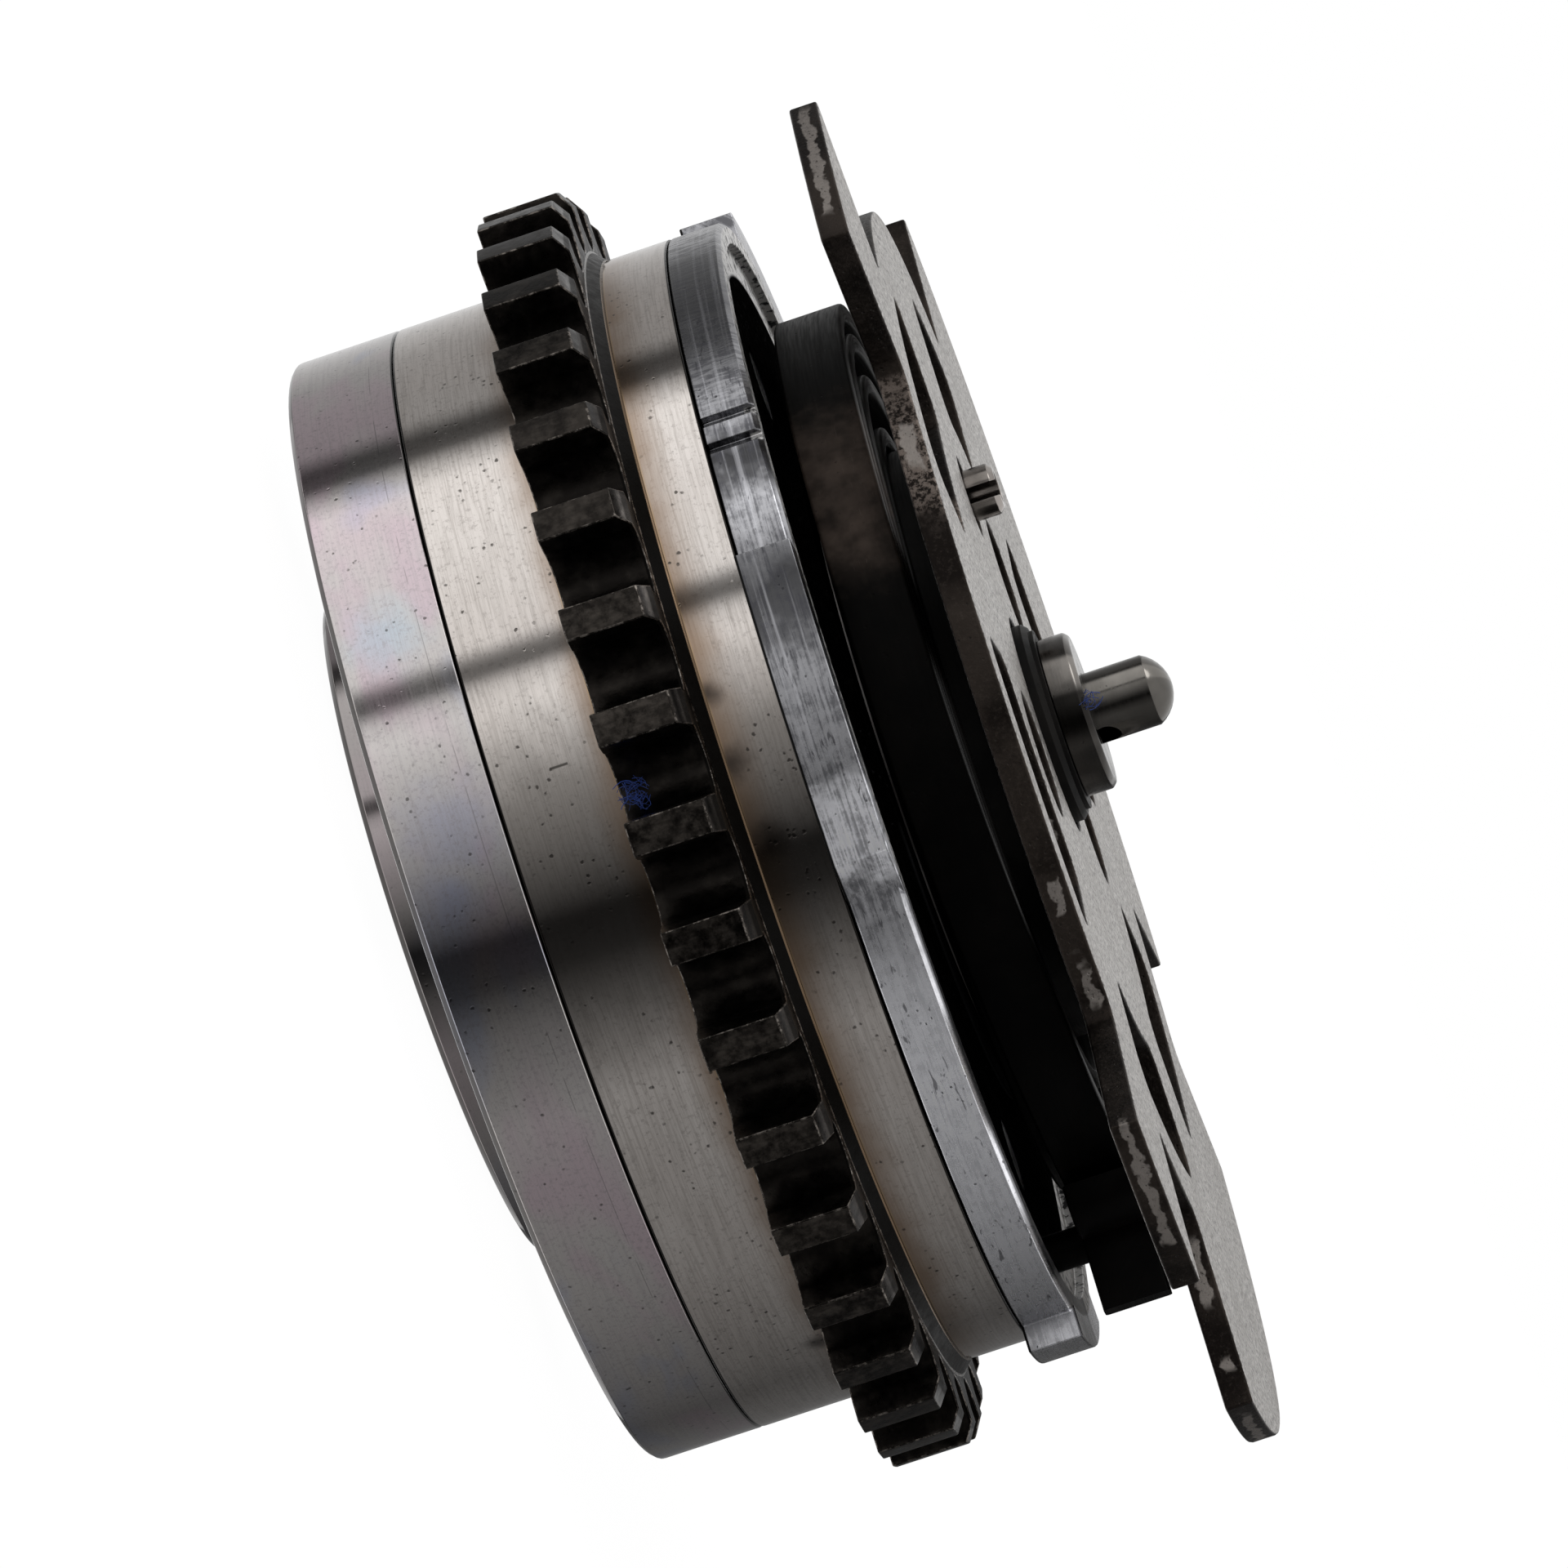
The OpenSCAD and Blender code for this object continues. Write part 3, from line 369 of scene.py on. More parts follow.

# %% [markdown]
# The front cover was cut from plate. The upper part of its edge is crossed by coarse grinding marks, and
# the lower part is smooth with short nicks. The tone of the edge round the axis is painted light and shade:
# painted dark reflection bands on the upper part, and painted light on the wide lug and on the lower part.
# Its recess is painted near black as shade, and the rim that stands round it shows the pores of the pressed
# metal.

# %% Finish of the front cover
Z_FACE, Z_RIM, RECESS_R = 37.65, 38.4, 40.4
# Painted light and shade round the edge, as degrees from the top and levels. The low dips are painted dark
# reflection bands, and the high levels on the lug and the lower part are painted light.
EDGE_PAINTED_LIGHT = [
    (-180, 0.7), (-60, 0.5), (14, 0.4), (20, 0.1), (32, 0.1), (40, 0.26), (46, 0.35), (50, 0.4),
    (53, 0.05), (56, 0.08), (59, 0.55), (64, 0.36), (70, 0.08), (74, 0.1), (77, 0.38), (89, 0.55),
    (92, 1.0), (97, 1.0), (100, 0.4), (105, 0.8), (120, 1.0), (162, 0.9), (168, 0.4), (180, 0.4)]


def front_cover_finish():
    f = Finish("cross_ground_plate_steel", gleam=0.0)
    along = f.noise(f.stretch(0.2, 5.0), 1.0, 4.0, 0.62)
    blotch = f.noise(f.pos, 0.8, 5.0, 0.7)
    fine = f.math("ADD", f.times(along, 0.5), f.times(blotch, 0.5))
    angle = f.math("ARCTAN2", f.y, f.x)
    across = f.noise(f.join(f.times(angle, 130.0), f.times(f.r, 0.4), f.times(f.z, 0.5)), 1.0, 4.0, 0.7)
    phi = f.from_top(9.0)
    upper = f.band(phi, -60.0, 104.0, 3.0)
    cross = f.band(phi, -40.0, 46.0, 8.0)
    # The edge's colour round the axis: painted light and shade.
    edge_light_and_shade = f.stops(f.span(phi, -180.0, 180.0, 0.0, 1.0, "LINEAR"), EDGE_PAINTED_LIGHT)
    mark = f.math("ADD", f.times(across, cross), f.times(fine, f.rest(cross)))
    ground = f.times(f.span(mark, 0.44, 0.6), f.span(upper, 0.0, 1.0, 0.25, 0.7))
    color = f.mix(ground, edge_light_and_shade, (0.07, 0.07, 0.08))
    streak = f.noise(f.grain(0.02, 2.2), 1.0, 3.0, 0.6)
    color = f.mix(f.times(f.span(streak, 0.5, 0.7), upper, 0.35), color, (0.72, 0.72, 0.76))
    # Painted highlight: pale edges on the upper part only, broken up by noise.
    edge_wear_and_highlight = f.times(f.edge(0.25, 0.02, 0.22), f.span(f.noise(f.pos, 0.5, 3.0), 0.4, 0.6))
    color = f.mix(f.times(edge_wear_and_highlight, upper, 0.6), color, (0.74, 0.73, 0.74))
    nick = f.noise(f.join(f.times(angle, 24.0), 0.0, f.times(f.z, 2.4)), 1.0, 2.0, 0.5, 1.2)
    color = f.mix(f.times(f.span(nick, 0.64, 0.71), 0.7), color, (0.08, 0.08, 0.09))
    front = f.span(f.z, Z_FACE - 0.25, Z_FACE - 0.1)
    inside = f.span(f.r, RECESS_R + 0.2, RECESS_R - 0.2)
    face = f.times(inside, front)
    ledge = f.times(f.rest(inside), f.span(f.r, DRUM_R - 0.3, DRUM_R - 0.6), front)
    crust = f.noise(f.pos, 1.2, 4.0, 0.65)
    color = f.mix(ledge, color, (0.62, 0.61, 0.60))
    color = f.mix(f.times(ledge, f.span(crust, 0.5, 0.6)), color, (0.03, 0.03, 0.032))
    # Painted shade: the recess floor is painted near black, with a faintly lighter crust.
    recess_shade = f.mix(f.span(crust, 0.5, 0.72), (0.002, 0.002, 0.002), (0.010, 0.0095, 0.009))
    color = f.mix(face, color, recess_shade)
    pit = f.pits(1.6, 0.22, 0.5)
    color = f.mix(f.times(pit, 0.85), color, (0.05, 0.05, 0.055))
    color = f.mix(f.span(f.z, Z_FRONT + 0.24, Z_FRONT + 0.16), color, (0.012, 0.012, 0.012))
    # Painted shade: the front of the rim is painted dark on the lower part, from about 100 degrees from the
    # top.
    lower_rim_shade = f.times(f.span(f.z, Z_RIM - 0.25, Z_RIM - 0.1), f.span(phi, 97.0, 104.0))
    color = f.mix(f.times(lower_rim_shade, 0.85), color, (0.06, 0.06, 0.065))
    lug = f.band(phi, 89.0, 98.0, 1.5)
    rough = f.math("ADD", f.span(mark, 0.3, 0.75, 0.20, 0.34), f.times(f.most(face, ledge, lug), 0.2))
    lines = f.bump(f.times(mark, f.span(upper, 0.0, 1.0, 0.3, 1.0)), 0.02, 0.6)
    lines = f.bump(f.times(crust, f.most(face, ledge)), 0.06, 0.6, lines)
    lines = f.bump(f.rest(pit), 0.02, 0.8, lines)
    return f.finish(color, rough, lines, f.rest(face))


front_steel = front_cover_finish()

# %% [markdown]
# The trigger plate is pressed from iron powder and steam treated. Its faces are grainy and grey, its
# edges carry a brown-black oxide, and handling has rubbed pale patches through that oxide.

# %% Finish of the trigger plate
PLATE_BACK, PLATE_FACE, PLATE_R, TAB_R = 47.4, 49.6, 41.6, 57.3


def plate_finish():
    f = Finish("steam_oxide_sinter_iron")
    grit = f.noise(f.pos, 3.0, 4.0, 0.75)
    speck = f.noise(f.pos, 2.1, 5.0, 0.75)
    cloud = f.noise(f.pos, 0.12, 3.0)
    face = f.most(f.span(f.z, PLATE_FACE - 0.08, PLATE_FACE - 0.02),
                  f.span(f.z, PLATE_BACK + 0.02, PLATE_BACK + 0.08, 1.0, 0.0))
    grey = f.mix(f.span(speck, 0.36, 0.6), (0.085, 0.079, 0.074), (0.50, 0.48, 0.46))
    grey = f.mix(f.times(f.span(grit, 0.54, 0.66), 0.7), grey, (0.05, 0.047, 0.043))
    grey = f.mix(f.times(f.span(cloud, 0.42, 0.7), 0.4), grey, (0.20, 0.185, 0.17))
    oxide = f.mix(f.span(cloud, 0.38, 0.62), (0.011, 0.009, 0.008), (0.034, 0.0275, 0.0235))
    oxide = f.mix(f.times(f.span(grit, 0.5, 0.75), 0.4), oxide, (0.07, 0.058, 0.05))
    phi = f.from_top(7.0)
    tab_rubs = ((32, 45, 0.7), (121, 133, 0.7), (160, 186, 0.7), (-100, -70, 2.0))
    rim_rubs = ((54, 60, 0.6), (105, 109, 0.4), (115, 119, 0.5))
    on_rim = f.span(f.r, PLATE_R + 0.8, PLATE_R + 0.4)
    tabs = f.times(f.span(f.r, TAB_R - 1.7, TAB_R - 0.7), f.most(*(f.band(phi, *rub) for rub in tab_rubs)))
    edge = f.times(on_rim, f.most(*(f.band(phi, *rub) for rub in rim_rubs)))
    flank = f.times(f.band(f.from_top(), 156.3, 158.7, 0.2),
                    f.most(f.band(f.r, 43.6, 49.0, 0.5), f.band(f.r, 53.4, 54.4, 0.3)))
    strip = f.band(f.math("ADD", f.z, f.waver(0.7, 3.0, 1.6)), 48.15, 48.95, 0.1)
    rub = f.times(f.most(tabs, edge, flank), strip, f.span(grit, 0.3, 0.44))
    brown = f.times(on_rim, f.band(phi, 47.0, 64.0, 3.0), f.span(speck, 0.42, 0.56))
    oxide = f.mix(f.times(brown, 0.7), oxide, (0.19, 0.157, 0.137))
    oxide = f.mix(f.times(rub, 0.85), oxide, (0.27, 0.245, 0.225))
    edge_wear_and_highlight = f.times(f.edge(0.3, 0.02, 0.2), f.span(speck, 0.44, 0.6))
    oxide = f.mix(f.times(edge_wear_and_highlight, 0.3), oxide, (0.24, 0.22, 0.2))
    color = f.mix(face, oxide, grey)
    pore = f.span(f.cells(f.pos, 1.5), 0.1, 0.2, 1.0, 0.0)
    pore = f.times(pore, f.span(f.noise(f.pos, 0.6, 2.0), 0.45, 0.6))
    color = f.mix(f.times(pore, 0.8), color, (0.02, 0.018, 0.016))
    rough = f.span(grit, 0.3, 0.7, 0.34, 0.56)
    lines = f.bump(grit, 0.05, 0.7)
    lines = f.bump(speck, 0.09, 0.5, lines)
    lines = f.bump(f.rest(pore), 0.08, 0.8, lines)
    return f.finish(color, rough, lines)


plate_iron = plate_finish()

# %% [markdown]
# The smaller metals share one pattern: a base, a second tone that a broad cloud mixes in, grain round
# the axis, and pale wear on the edges. One function with named sizes keeps them alike but not equal.
# The valve's head and pin also take a list of levels round the axis: painted light on their lit side and
# painted shade on the rest.

# %% Finishes of the small steel pieces
def small_metal(name, base, second, rough, grain_depth, wear, worn_tone, pit_share=0.62, shaded_hole=None,
                painted_light=None, metallic=1.0, gleam=0.2):
    f = Finish(name, metallic, gleam)
    fine = f.noise(f.grain(0.25, 6.0), 1.0, 4.0, 0.6)
    cloud = f.noise(f.pos, 0.3, 3.0)
    color = f.mix(f.span(cloud, 0.35, 0.65), base, second)
    crumb = f.noise(f.pos, 2.5, 3.0, 0.6)
    rub = f.times(f.edge(0.22, 0.02, 0.2), f.span(crumb, 0.36, 0.56), wear)
    color = f.mix(rub, color, worn_tone)
    pit = f.pits(1.8, 0.2, pit_share)
    color = f.mix(f.times(pit, 0.7), color, tuple(0.3 * v for v in base))
    # Painted light and shade round the axis, multiplied into the colour.
    if painted_light:
        turn = f.span(f.from_top(4.0), -180.0, 180.0, 0.0, 1.0, "LINEAR")
        color = f.mix(1.0, color, f.stops(turn, painted_light, (1.0, 1.0, 1.0)), "MULTIPLY")
    # Painted shade: the inside of the pin's cross hole is painted near black.
    if shaded_hole:
        radius, low, high = shaded_hole
        inside = f.times(f.span(f.r, radius, radius - 0.06), f.band(f.z, low, high, 0.05))
        color = f.mix(inside, color, tuple(0.02 * v for v in base))
    gloss = f.math("ADD", f.span(fine, 0.3, 0.75, rough * 0.75, rough * 1.2),
                   f.span(cloud, 0.4, 0.7, 0.0, 0.06))
    lines = f.bump(fine, grain_depth, 0.5)
    lines = f.bump(f.rest(pit), 0.02, 0.7, lines)
    return f.finish(color, gloss, lines)


# Painted light and shade round the head and the pin: a bright lit band from about 45 to 68 degrees from the
# top, darker elsewhere.
HEAD_PAINTED_LIGHT = [
    (-180, 0.3), (41, 0.3), (45, 0.7), (68, 0.6), (75, 0.08), (100, 0.07), (112, 0.16), (180, 0.2)]
PIN_PAINTED_LIGHT = [(-180, 0.4), (37, 0.35), (44, 0.7), (66, 0.65), (72, 0.4), (100, 0.35), (180, 0.4)]
hub_black = small_metal("black_oxide_steel", (0.005, 0.005, 0.005), (0.011, 0.0105, 0.01), 0.5, 0.005,
                        0.3, (0.05, 0.048, 0.046), metallic=0.1, gleam=0.08)
# Near black: dark steel, and painted shade for the dark gap between the plate and the valve's head.
valve_dark_and_shade = small_metal("dark_valve_steel_and_painted_shade", (0.008, 0.0077, 0.0075), (0.014, 0.013, 0.012), 0.55, 0.004,
                         0.3, (0.06, 0.057, 0.055), metallic=0.1, gleam=0.05)
head_steel = small_metal("valve_head_steel", (0.36, 0.335, 0.31), (0.25, 0.235, 0.22), 0.2, 0.005,
                         0.4, (0.42, 0.40, 0.37), 0.5, painted_light=HEAD_PAINTED_LIGHT)
pin_steel = small_metal("plunger_pin_steel", (0.33, 0.31, 0.285), (0.25, 0.235, 0.215), 0.17, 0.004,
                        0.4, (0.42, 0.40, 0.37), 0.55, shaded_hole=(2.68, 52.0, 55.6), painted_light=PIN_PAINTED_LIGHT)
dowel_steel = small_metal("dowel_steel", (0.33, 0.3, 0.28), (0.18, 0.165, 0.15), 0.16, 0.005,
                          0.6, (0.45, 0.42, 0.40))
screw_dark = small_metal("phosphated_screw_steel", (0.13, 0.13, 0.135), (0.19, 0.19, 0.19), 0.42, 0.006,
                         0.6, (0.35, 0.34, 0.34))
bright_steel = small_metal("bright_inner_steel", (0.52, 0.51, 0.51), (0.44, 0.43, 0.43), 0.25, 0.004,
                           0.3, (0.6, 0.59, 0.58))
rotor_iron = small_metal("ground_sinter_iron", (0.36, 0.35, 0.34), (0.29, 0.28, 0.27), 0.34, 0.006,
                         0.4, (0.5, 0.49, 0.48), 0.5)

# %% [markdown]
# The spring's wire is oil-black steel, painted darker still as shade where the front cover and the plate
# close round it.
# Its brown stretch at the drum's upper near side is dust and painted light where light reaches in. Rolling
# left fine lines along the wire, and small pits show where the black coat has chipped.

# %% Finish of the bias spring
SPRING_MID, SPRING_R = 42.3, 35.8


def spring_finish():
    f = Finish("oil_black_spring_steel_in_painted_shade", 0.1, 0.05)
    fine = f.noise(f.grain(0.2, 5.0), 1.0, 4.0, 0.6)
    cloud = f.noise(f.pos, 0.35, 3.0)
    # Brown stretch near 50 to 60 degrees from the top: dust, and painted light where light reaches the
    # wire.
    dust_and_light = f.most(f.near(50, SPRING_MID, SPRING_R, 6.5, 0.6), f.near(60, SPRING_MID, SPRING_R, 4.0, 0.6))
    # Near-black base: oil-black steel, painted darker still as shade between the front cover and the plate.
    color = f.mix(f.span(cloud, 0.35, 0.65), (0.0012, 0.0011, 0.001), (0.0028, 0.0024, 0.0021))
    color = f.mix(f.times(dust_and_light, f.span(cloud, 0.3, 0.6, 0.4, 1.0)), color, (0.082, 0.062, 0.051))
    chip = f.pits(1.5, 0.2, 0.5)
    color = f.mix(f.times(chip, 0.6), color, (0.003, 0.003, 0.003))
    fleck = f.times(f.span(f.noise(f.grain(0.5, 9.0), 1.0, 3.0), 0.66, 0.74), dust_and_light)
    color = f.mix(f.times(fleck, 0.6), color, (0.12, 0.1, 0.085))
    lines = f.bump(fine, 0.006, 0.5)
    lines = f.bump(f.rest(chip), 0.03, 0.8, lines)
    return f.finish(color, f.span(fine, 0.3, 0.75, 0.38, 0.55), lines)


spring_black = spring_finish()

# %% [markdown]
# The seals in the vane tips and lobes are strips of filled plastic. Their filler fibres lie along the
# strip, so a noise stretched along the axis is enough; they are hidden, and need no wear.

# %% Finish of the seal strips
def seal_finish():
    f = Finish("filled_seal_plastic", metallic=0.0)
    fibre = f.noise(f.stretch(6.0, 0.5), 1.0, 3.0)
    color = f.mix(f.span(fibre, 0.4, 0.65), (0.12, 0.11, 0.10), (0.2, 0.185, 0.17))
    return f.finish(color, f.span(fibre, 0.3, 0.7, 0.45, 0.6), f.bump(fibre, 0.01, 0.5))


seal_plastic = seal_finish()

# %% [markdown]
# CAD edges are perfectly sharp, and a sharp edge catches no light. Each main piece is copied, its loose
# triangles are merged, flat regions are dissolved into whole faces, and a Bevel modifier rounds what is
# left. A Weighted Normal modifier lets the large faces rule the shading, so reflections stay straight up
# to the edge. Both are then baked, so the finished piece is a plain mesh at the CAD node's own place.

# %% Round the edges of the main pieces
FLAT_ANGLE, SHARP_ANGLE, ROUNDING_STEPS, LARGE_FACE_WEIGHT = math.radians(0.4), math.radians(32), 2, 90


def rounded(node, body, finish, width, edge=None):
    mesh = cad_copy(node, node + "_dressed", [finish, edge] if edge else [finish], FLAT_ANGLE)
    mesh.shade_smooth()
    raw = add(node + "_dressed", mesh)
    mod = raw.modifiers.new("rounding", "BEVEL")
    mod.width, mod.segments = width * MM, ROUNDING_STEPS
    mod.limit_method, mod.angle_limit = "ANGLE", SHARP_ANGLE
    mod.use_clamp_overlap = True
    mod.material = 1 if edge else -1
    raw.modifiers.new("flat_faces_stay_flat", "WEIGHTED_NORMAL").weight = LARGE_FACE_WEIGHT
    view = bpy.context.evaluated_depsgraph_get()
    baked = bpy.data.meshes.new_from_object(raw.evaluated_get(view))
    raw.modifiers.clear()
    raw.data = baked
    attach(raw, body)
    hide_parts(node)
    print("rounded:", node, len(baked.polygons), "faces")


rounded("stator", "housing", stator_steel, 0.16, edge=tooth_edge)
rounded("rear_cover", "housing", cover_steel, 0.12)
rounded("front_cover", "housing", front_steel, 0.14)
rounded("trigger_plate", "rotor", plate_iron, 0.22)
rounded("spring_hub", "rotor", hub_black, 0.12)
rounded("valve_cap", "rotor", head_steel, 0.12)
rounded("spool", "spool", pin_steel, 0.06)
rounded("plate_dowel", "rotor", dowel_steel, 0.08)

# %% [markdown]
# The bias spring is a flat wire wound into a spiral, with a hook at its inner end and a tail bent out at
# its outer end. The wire's line is a list of points, and a Geometry Nodes tree sweeps a rounded strip
# along it. Sweeping is better than cutting here, because the wire keeps its section through both bends.
# SPRING holds radii, heights and bends in millimetres and the tail's angle in degrees; "even" is the share
# of the winding with an even pitch, and the rest closes up towards the outside.

# %% Wind the bias spring
SPRING = {"in": 24.65, "out": 35.75, "turns": 3.5, "even": 0.5, "tail": 340.0, "end": 46.35, "hook": 21.65,
          "z": 42.35, "lift": 1.0, "wide": 5.3, "thick": 1.5, "bend": 2.2, "hook_bend": 1.5, "corner": 0.28}
HOOK_STRAIGHT, HOOK_ARC, TAIL_ARC, TAIL_STRAIGHT, STEP_DEGREES = 3, 9, 11, 6, 3
RISE_FROM, RISE_POINTS = 42, 24
WIRE_WELD, WIRE_CREASE = 1e-7, math.radians(50)


def spring_line():
    start = SPRING["tail"] - 360 * SPRING["turns"]

    def mean(angle):
        t = (angle - start) / (360 * SPRING["turns"])
        even = SPRING["even"]
        share = even * t + (1 - even) * (1 - (1 - t) ** 2)
        return SPRING["in"] + (SPRING["out"] - SPRING["in"]) * share

    def spot(r, angle):
        a = math.radians(angle)
        return Vector((r * math.cos(a), r * math.sin(a), SPRING["z"]))

    hook, bend = SPRING["hook_bend"], SPRING["bend"]
    turn_in = start + math.degrees(math.asin(hook / (SPRING["in"] - hook)))
    turn_out = SPRING["tail"] - math.degrees(math.asin(bend / (SPRING["out"] + bend)))
    line = [spot(SPRING["hook"] + 0.3 * k, start) for k in range(HOOK_STRAIGHT)]
    centre = spot(mean(turn_in) - hook, turn_in)
    for k in range(HOOK_ARC):
        a = math.radians(start - 90 + (turn_in - start + 90) * k / (HOOK_ARC - 1))
        line.append(centre + hook * Vector((math.cos(a), math.sin(a), 0)))
    steps = int((turn_out - turn_in) / STEP_DEGREES)
    for k in range(1, steps):
        a = turn_in + (turn_out - turn_in) * k / steps
        line.append(spot(mean(a), a))
    centre = spot(mean(turn_out) + bend, turn_out)
    for k in range(TAIL_ARC):
        a = math.radians(turn_out + 180 + (SPRING["tail"] - 270 - turn_out) * k / (TAIL_ARC - 1))
        line.append(centre + bend * Vector((math.cos(a), math.sin(a), 0)))
    last = line[-1].xy.length
    for k in range(1, TAIL_STRAIGHT + 1):
        line.append(spot(last + (SPRING["end"] - last) * k / TAIL_STRAIGHT, SPRING["tail"]))
    count = len(line)
    for k, p in enumerate(line):
        rise = min(max((k - count + RISE_FROM) / RISE_POINTS, 0.0), 1.0)
        p.z += SPRING["lift"] * rise * rise * (3 - 2 * rise)
    return [p * MM for p in line]


def strip_tree():
    tree = bpy.data.node_groups.new("spring_strip", "GeometryNodeTree")
    face = tree.interface
    face.new_socket("Wire line", in_out="INPUT", socket_type="NodeSocketGeometry")
    ids = {}
    for label, key in (("Wire width", "wide"), ("Wire thickness", "thick"), ("Corner radius", "corner")):
        socket = face.new_socket(label, in_out="INPUT", socket_type="NodeSocketFloat")
        socket.default_value = SPRING[key] * MM
        ids[label] = socket.identifier
    socket = face.new_socket("Wire finish", in_out="INPUT", socket_type="NodeSocketMaterial")
    ids["Wire finish"] = socket.identifier
    face.new_socket("Strip", in_out="OUTPUT", socket_type="NodeSocketGeometry")
    new = tree.nodes.new
    into, out = new("NodeGroupInput"), new("NodeGroupOutput")
    upright = new("GeometryNodeSetCurveNormal")
    upright.mode = "Z_UP"
    section = new("GeometryNodeCurvePrimitiveQuadrilateral")
    corner = new("GeometryNodeFilletCurve")
    corner.mode = "POLY"
    corner.inputs["Count"].default_value = 3
    sweep = new("GeometryNodeCurveToMesh")
    sweep.inputs["Fill Caps"].default_value = True
    whole = new("GeometryNodeRealizeInstances")
    paint = new("GeometryNodeSetMaterial")
    for a, b in ((into.outputs["Wire line"], upright.inputs["Curve"]),
                 (into.outputs["Wire thickness"], section.inputs["Width"]),
                 (into.outputs["Wire width"], section.inputs["Height"]),
                 (section.outputs["Curve"], corner.inputs["Curve"]),
                 (into.outputs["Corner radius"], corner.inputs["Radius"]),
                 (upright.outputs["Curve"], sweep.inputs["Curve"]),
                 (corner.outputs["Curve"], sweep.inputs["Profile Curve"]),
                 (sweep.outputs["Mesh"], whole.inputs["Geometry"]),
                 (whole.outputs["Geometry"], paint.inputs["Geometry"]),
                 (into.outputs["Wire finish"], paint.inputs["Material"]),
                 (paint.outputs["Geometry"], out.inputs["Strip"])):
        tree.links.new(a, b)
    return tree, ids


def strip_along(name, line, tree, ids):
    curve = bpy.data.curves.new(name + "_line", "CURVE")
    curve.dimensions = "3D"
    spline = curve.splines.new("POLY")
    spline.points.add(len(line) - 1)
    for point, place in zip(spline.points, line):
        point.co = (*place, 1.0)
    raw = add(name + "_line", curve)
    mod = raw.modifiers.new("strip", "NODES")
    mod.node_group = tree
    mod[ids["Wire width"]] = SPRING["wide"] * MM
    mod[ids["Wire thickness"]] = SPRING["thick"] * MM
    mod[ids["Wire finish"]] = spring_black
    view = bpy.context.evaluated_depsgraph_get()
    mesh = bpy.data.meshes.new_from_object(raw.evaluated_get(view))
    bpy.data.objects.remove(raw)
    work = bmesh.new()
    work.from_mesh(mesh)
    bmesh.ops.remove_doubles(work, verts=work.verts, dist=WIRE_WELD)
    bmesh.ops.recalc_face_normals(work, faces=work.faces)
    work.to_mesh(mesh)
    work.free()
    mesh.shade_smooth()
    mesh.set_sharp_from_angle(angle=WIRE_CREASE)
    strip = add(name, mesh)
    heights = [v.co.z for v in mesh.vertices]
    print(name, len(mesh.polygons), "faces, from z", round(min(heights), 4), "to", round(max(heights), 4))
    return strip


# %% [markdown]
# The real spring winds up as the rotor turns: its hook goes with the rotor and its tail stays with the
# housing. A rigid spring would cut into the hub at the far limit. So the wire is swept in two pieces that
# meet end to end. The long one rides on the housing, and the short one holds the hook.

# %% The coil on the housing and the hook
HOOK_POINTS, GIVING_POINTS = HOOK_STRAIGHT + HOOK_ARC, 20
wire_line = spring_line()
cut = HOOK_POINTS + GIVING_POINTS
strip_group, strip_ids = strip_tree()
bias_spring_wound = strip_along("bias_spring_wound", wire_line[cut:], strip_group, strip_ids)
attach(bias_spring_wound, "housing")
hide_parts("bias_spring")
bias_spring_hook = strip_along("bias_spring_hook", wire_line[:cut + 1], strip_group, strip_ids)
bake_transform(bias_spring_hook)

# %% [markdown]
# Two small coils sit inside: one behind the lock pin, one behind the spool. When their pin moves in, the
# coil is pressed together. Each keeps its CAD shape, on a mesh of its own that rides on the rotor.

# %% Coils that are pressed together
def pressed_coil(node):
    mesh = cad_copy(node, node + "_coil", [bright_steel])
    coil = add(node + "_coil", mesh)
    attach(coil, "rotor")
    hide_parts(node)
    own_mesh(coil)


pressed_coil("lock_spring")
pressed_coil("spool_spring")

# %% [markdown]
# Two tufts of blue lint from a cleaning cloth cling to the part: one in a tooth gap, one on the valve's
# head. Each is a handful of bent fibres scattered in a small box. A Geometry Nodes tree places them from
# a fixed seed, so every run gives the same tuft.

# %% Lint left by a cloth
def lint_finish():
    f = Finish("blue_cloth_lint", metallic=0.0)
    shade = f.noise(f.pos, 2.0, 3.0)
    color = f.mix(f.span(shade, 0.35, 0.65), (0.011, 0.029, 0.145), (0.03, 0.08, 0.37))
    return f.finish(color, f.span(shade, 0.3, 0.7, 0.6, 0.75), f.bump(shade, 0.01, 0.4))


